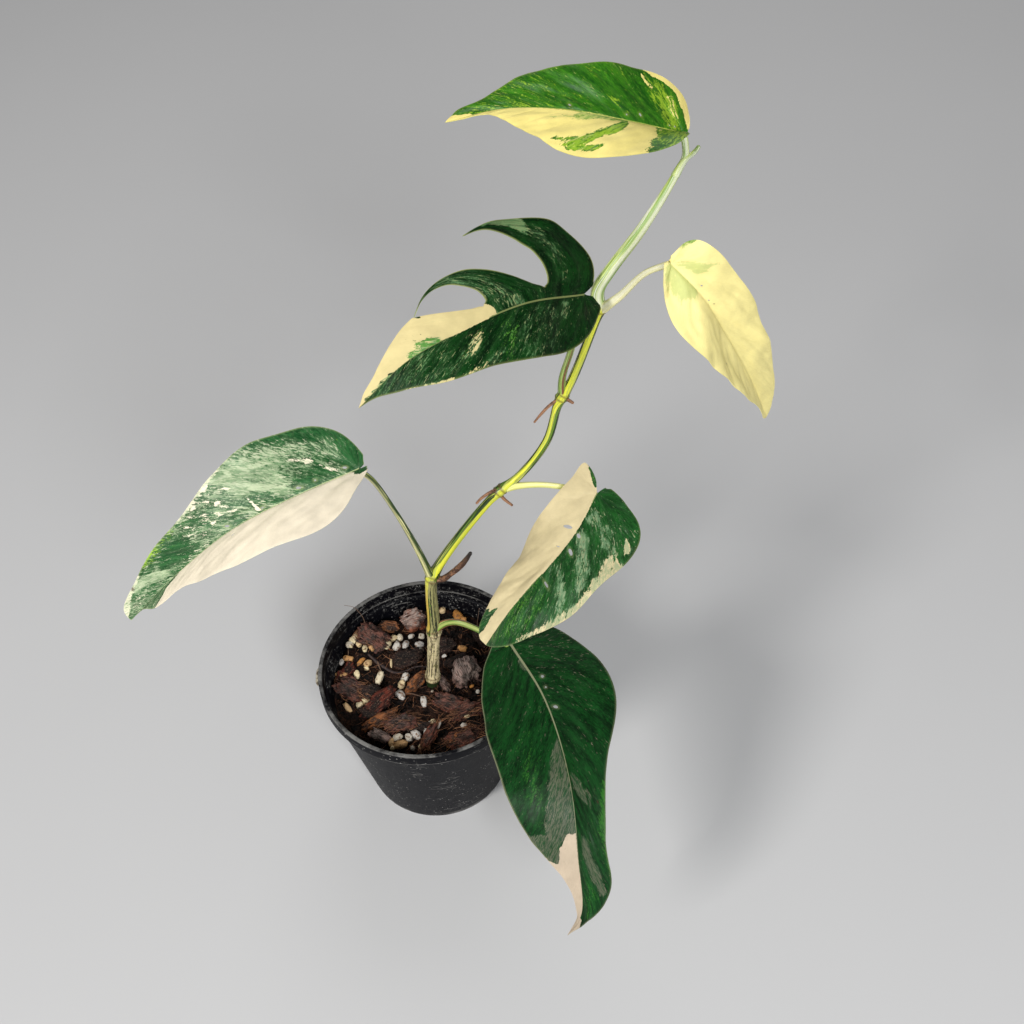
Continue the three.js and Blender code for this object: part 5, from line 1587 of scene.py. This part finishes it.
def sheet_normals(places, faces):
    """Unit normal at each point: the sum of its triangles' normals, longer for larger triangles."""
    a, b, c = (places[faces[:, k]] for k in range(3))
    normal = np.cross(b - a, c - a)
    total = np.zeros_like(places)
    for k in range(3):
        np.add.at(total, faces[:, k], normal)
    return total / np.maximum(np.linalg.norm(total, axis=1, keepdims=True), 1e-12)


def blade(leaf):
    """A closed blade. The bent sheet gets pleats between its side veins, then an upper face with a
    groove along the midrib and a lower face with a ridge, and walls along every open edge."""
    length = smooth_route(leaf["midrib"])[1][-1]
    flat, faces = flat_sheet(leaf, length)
    flat, faces, scar = pierced(leaf, flat, faces)
    x, y, root, reach, margin = flat[:, :5].T
    cover = flat[:, 5:]
    half = np.where(y > 0, 1, -1)
    wobbled = [values + sum(size * cloudy(np.stack([x, y, 0 * x], -1) + shift, cell, 11 + k)
                            for k, (cell, size) in enumerate(WOBBLE))
               for values, shift in ((x, 3), (y, 7))]
    for tints, edge, outline in leaf["patches"]:
        outline = np.array(outline) * MM
        own = np.sign(outline[:, 1].sum())
        outline[outline[:, 1] == 0, 1] = -own * OVERLAP
        share = np.clip(depth_inside(outline, *wobbled) / (edge * MM) + 0.5, 0, 1) * (half == own)
        cover = cover + (np.array(tints) - cover) * share[:, None]

    open_margin = ramp(margin, MARGIN_WIDTH)
    phase = (root / VEIN_SPACING) % 1
    to_vein = np.minimum(phase, 1 - phase) * VEIN_SPACING
    out_share = ramp(reach, PLEAT_START) * ramp(margin, PLEAT_START)
    side_vein = bell(to_vein, VEIN_WIDTH) * ramp(margin, VEIN_END)
    fade = np.clip(1.15 - ramp(x, length), 0.15, 1)
    rib = bell(y, RIB_WIDTH * (0.45 + 0.55 * fade))
    uneven = 0.6 + 0.4 * cloudy(np.stack([x, y, 0 * x], -1) + 2, UNEVEN_CELL, 4)
    pleat = leaf["pleat"] * (np.sqrt(np.abs(np.sin(np.pi * phase))) - 0.7) * out_share * uneven
    pucker_place = np.stack([root, 0.75 * reach, np.sign(y) * 0.1], -1) + 1
    sway = sum(size * cloudy(pucker_place, cell, 5 + k) for k, (cell, size) in enumerate(PUCKERS))
    sway = sway * ramp(reach, PUCKER_START) * np.interp(x / length, (0, 1), leaf["pucker"])

    places = bent(leaf, x, y)
    normal = sheet_normals(places, faces)
    places = places + normal * (pleat + sway)[:, None]
    normal = sheet_normals(places, faces)
    depth = (MARGIN_THICKNESS + (BLADE_THICKNESS - MARGIN_THICKNESS) * open_margin) / 2
    upper = places + normal * (depth - RIB_DEPTH * rib * open_margin * fade)[:, None]
    ridge = RIB_HEIGHT * rib * fade + 0.3 * RIB_DEPTH * side_vein
    lower = places - normal * (depth + ridge * open_margin)[:, None]

    edges = np.concatenate([faces[:, [0, 1]], faces[:, [1, 2]], faces[:, [2, 0]]])
    count = len(x)
    forward, backward = edges[:, 0] * count + edges[:, 1], edges[:, 1] * count + edges[:, 0]
    start, end = edges[~np.isin(forward, backward)].T
    walls = np.concatenate([np.stack([start, start + count, end + count], -1),
                            np.stack([start, end + count, end], -1)])
    faces = np.concatenate([faces, faces[:, ::-1] + count, walls])
    surface = np.stack([root, np.sign(y) * reach], -1)
    face_side = np.repeat([0.0, 1.0], count)
    rim = bell(margin, RIM_WIDTH) * np.where(half > 0, *leaf["rim"])
    veins = np.stack([rib * fade, side_vein, rim, fade * leaf["line"]], -1)
    channels = {"cover": np.tile(cover, (2, 1)), "veins": np.tile(veins, (2, 1)),
                "marks": np.stack([np.tile(scar, 2), face_side], -1)}
    return np.concatenate([upper, lower]), faces, np.tile(surface, (2, 1)), channels


def skin_group():
    """Group that paints a variegated blade. Each tint covers the share of the surface that its cover
    value says: where a streaky noise, drawn out along the side veins, lies below the cover value.
    Half of a tint has a crisp edge and half a soft one. Pale flecks, veins, the midrib's line, the
    margin, scars and the paler underside come on top."""
    paints = dict.fromkeys(("Deep", "Fresh", "Lime", "Silver", "Cream", "Underside"), "Color")
    group, given, result = new_group("variegated_skin", paints,
                                     {"Colour": "Color", "Roughness": "Float", "Height": "Float"})
    surface = put(group, "UVMap", uv_map="surface").outputs[0]
    place = own_places(group)
    cover, veins, marks = (values_at(group, name) for name in ("cover", "veins", "marks"))

    def streaks(across, lengthwise, detail, shift, swirl=0.0):
        """Cloudy noise drawn out along the side veins."""
        return drawn_out(group, surface, (across, lengthwise, 1.0), detail, 0.62, swirl, shift)

    speckle = noise(group, place, 1100.0, 3.0, roughness=0.7)
    mottle = noise(group, place, 130.0, 5.0)
    masks = []
    for k, (softness, crisp) in enumerate(((0.4, 0.5), (0.7, 0.5), (0.3, 0.9))):
        coarse = streaks(150.0, 45.0, 3.0, 2.3 * k + 1.0)
        streaky = scaled(group, streaks(700.0, 200.0, 6.0, 3.1 * k, 0.9), 0.5,
                         scaled(group, coarse, 0.25, times(group, speckle, 0.25)))
        spread = scaled(group, streaky, 5.5, -2.25)
        wanted = scaled(group, cover[k], 1.8, -0.4)
        excess = worked(group, "SUBTRACT", wanted, spread)
        soft = times(group, rising(group, excess, -softness, softness), 1 - crisp)
        masks.append(scaled(group, rising(group, excess, -0.07, 0.07), crisp, soft))
    broad = streaks(200.0, 45.0, 4.0, 9.0)
    fine = streaks(2200.0, 420.0, 4.0, 5.0)
    tufts = streaks(260.0, 90.0, 6.0, 13.0, 1.2)
    dashes = scaled(group, cover[1], 0.3, streaks(1300.0, 330.0, 4.0, 7.0, 0.5))
    dashes = rising(group, scaled(group, tufts, 0.5, dashes), 0.955, 1.0)
    dashes = times(group, dashes, scaled(group, masks[1], -0.55, 1.0))
    dots = times(group, rising(group, speckle, 0.6, 0.7), rising(group, tufts, 0.42, 0.6))
    ground = scaled(group, fine, 0.6, times(group, broad, 0.7))
    colour = shaded(group, ground, 0.5, 0.82, given["Deep"], given["Fresh"])
    dim = blended(group, 0.5, given["Fresh"], given["Silver"])
    tones = scaled(group, fine, 0.35, times(group, tufts, 0.65))
    silver = shaded(group, tones, 0.44, 0.56, dim, given["Silver"])
    veiled = blended(group, times(group, masks[1], 0.62), given["Cream"], given["Silver"])
    pale = blended(group, 0.35, given["Silver"], given["Cream"])
    colour = layered(group, colour, [
        (dots, 0.4, given["Silver"]), (masks[0], 0.9, given["Lime"]), (masks[1], 0.85, silver),
        (dashes, 0.8, pale), (masks[2], 0.98, veiled),
    ])
    # Value rises and falls with the fine streaks, less on cream, and with a broad mottle: the blade's own
    # uneven tone, and in the mottle partly painted shade of small dimples.
    calm = scaled(group, masks[2], -0.42, 0.6)
    bright = scaled(group, worked(group, "SUBTRACT", fine, 0.5), calm, 1.0)
    bright = scaled(group, worked(group, "SUBTRACT", mottle, 0.55), 0.45, bright)
    shade = put(group, "HueSaturation", {"Value": bright, "Color": colour}).outputs[0]
    vein_paint = blended(group, masks[2], dim, given["Cream"])
    edge_paint = blended(group, masks[2], blended(group, 0.5, given["Lime"], given["Cream"]), given["Cream"])
    beside = worked(group, "ABSOLUTE", put(group, "SeparateXYZ", {0: surface}).outputs["Y"])
    half_width = scaled(group, veins[3], RIB_LINE[1] - RIB_LINE[0], RIB_LINE[0])
    rib_line = rising(group, worked(group, "DIVIDE", beside, half_width), 1.15, 0.7)
    strength = scaled(group, veins[3], 0.55, 0.3)
    colour = layered(group, shade, [
        (veins[1], 0.08, vein_paint), (rib_line, strength, edge_paint), (veins[2], 0.85, edge_paint),
        (marks[1], 0.5, given["Underside"]), (marks[0], 0.85, "3b2516"),
    ])
    group.links.new(colour, result["Colour"])
    dull = scaled(group, masks[2], 0.1, scaled(group, speckle, 0.16, 0.3))
    group.links.new(scaled(group, marks[1], 0.2, dull), result["Roughness"])
    relief = scaled(group, fine, 0.6, times(group, speckle, 0.4))
    group.links.new(relief, result["Height"])
    return group


def leaf_finish(name, leaf, skin):
    """Satin skin of one leaf, with that leaf's own greens and cream."""
    material, tree = new_material(f"leaf_{name}_skin")
    return dressed(material, *grouped(tree, skin, *leaf["paints"]), 0.3, 0.0004, gloss=leaf["gloss"])


skin = skin_group()
for name, leaf in LEAVES.items():
    places, faces, surface, channels = blade(leaf)
    piece = make_piece(f"leaf_{name}_blade", places, faces, leaf_finish(name, leaf, skin), leaf["slot"],
                       [f"leaf_{name}"], surface, channels)
    piece.data.set_sharp_from_angle(angle=np.radians(BLADE_CREASE))
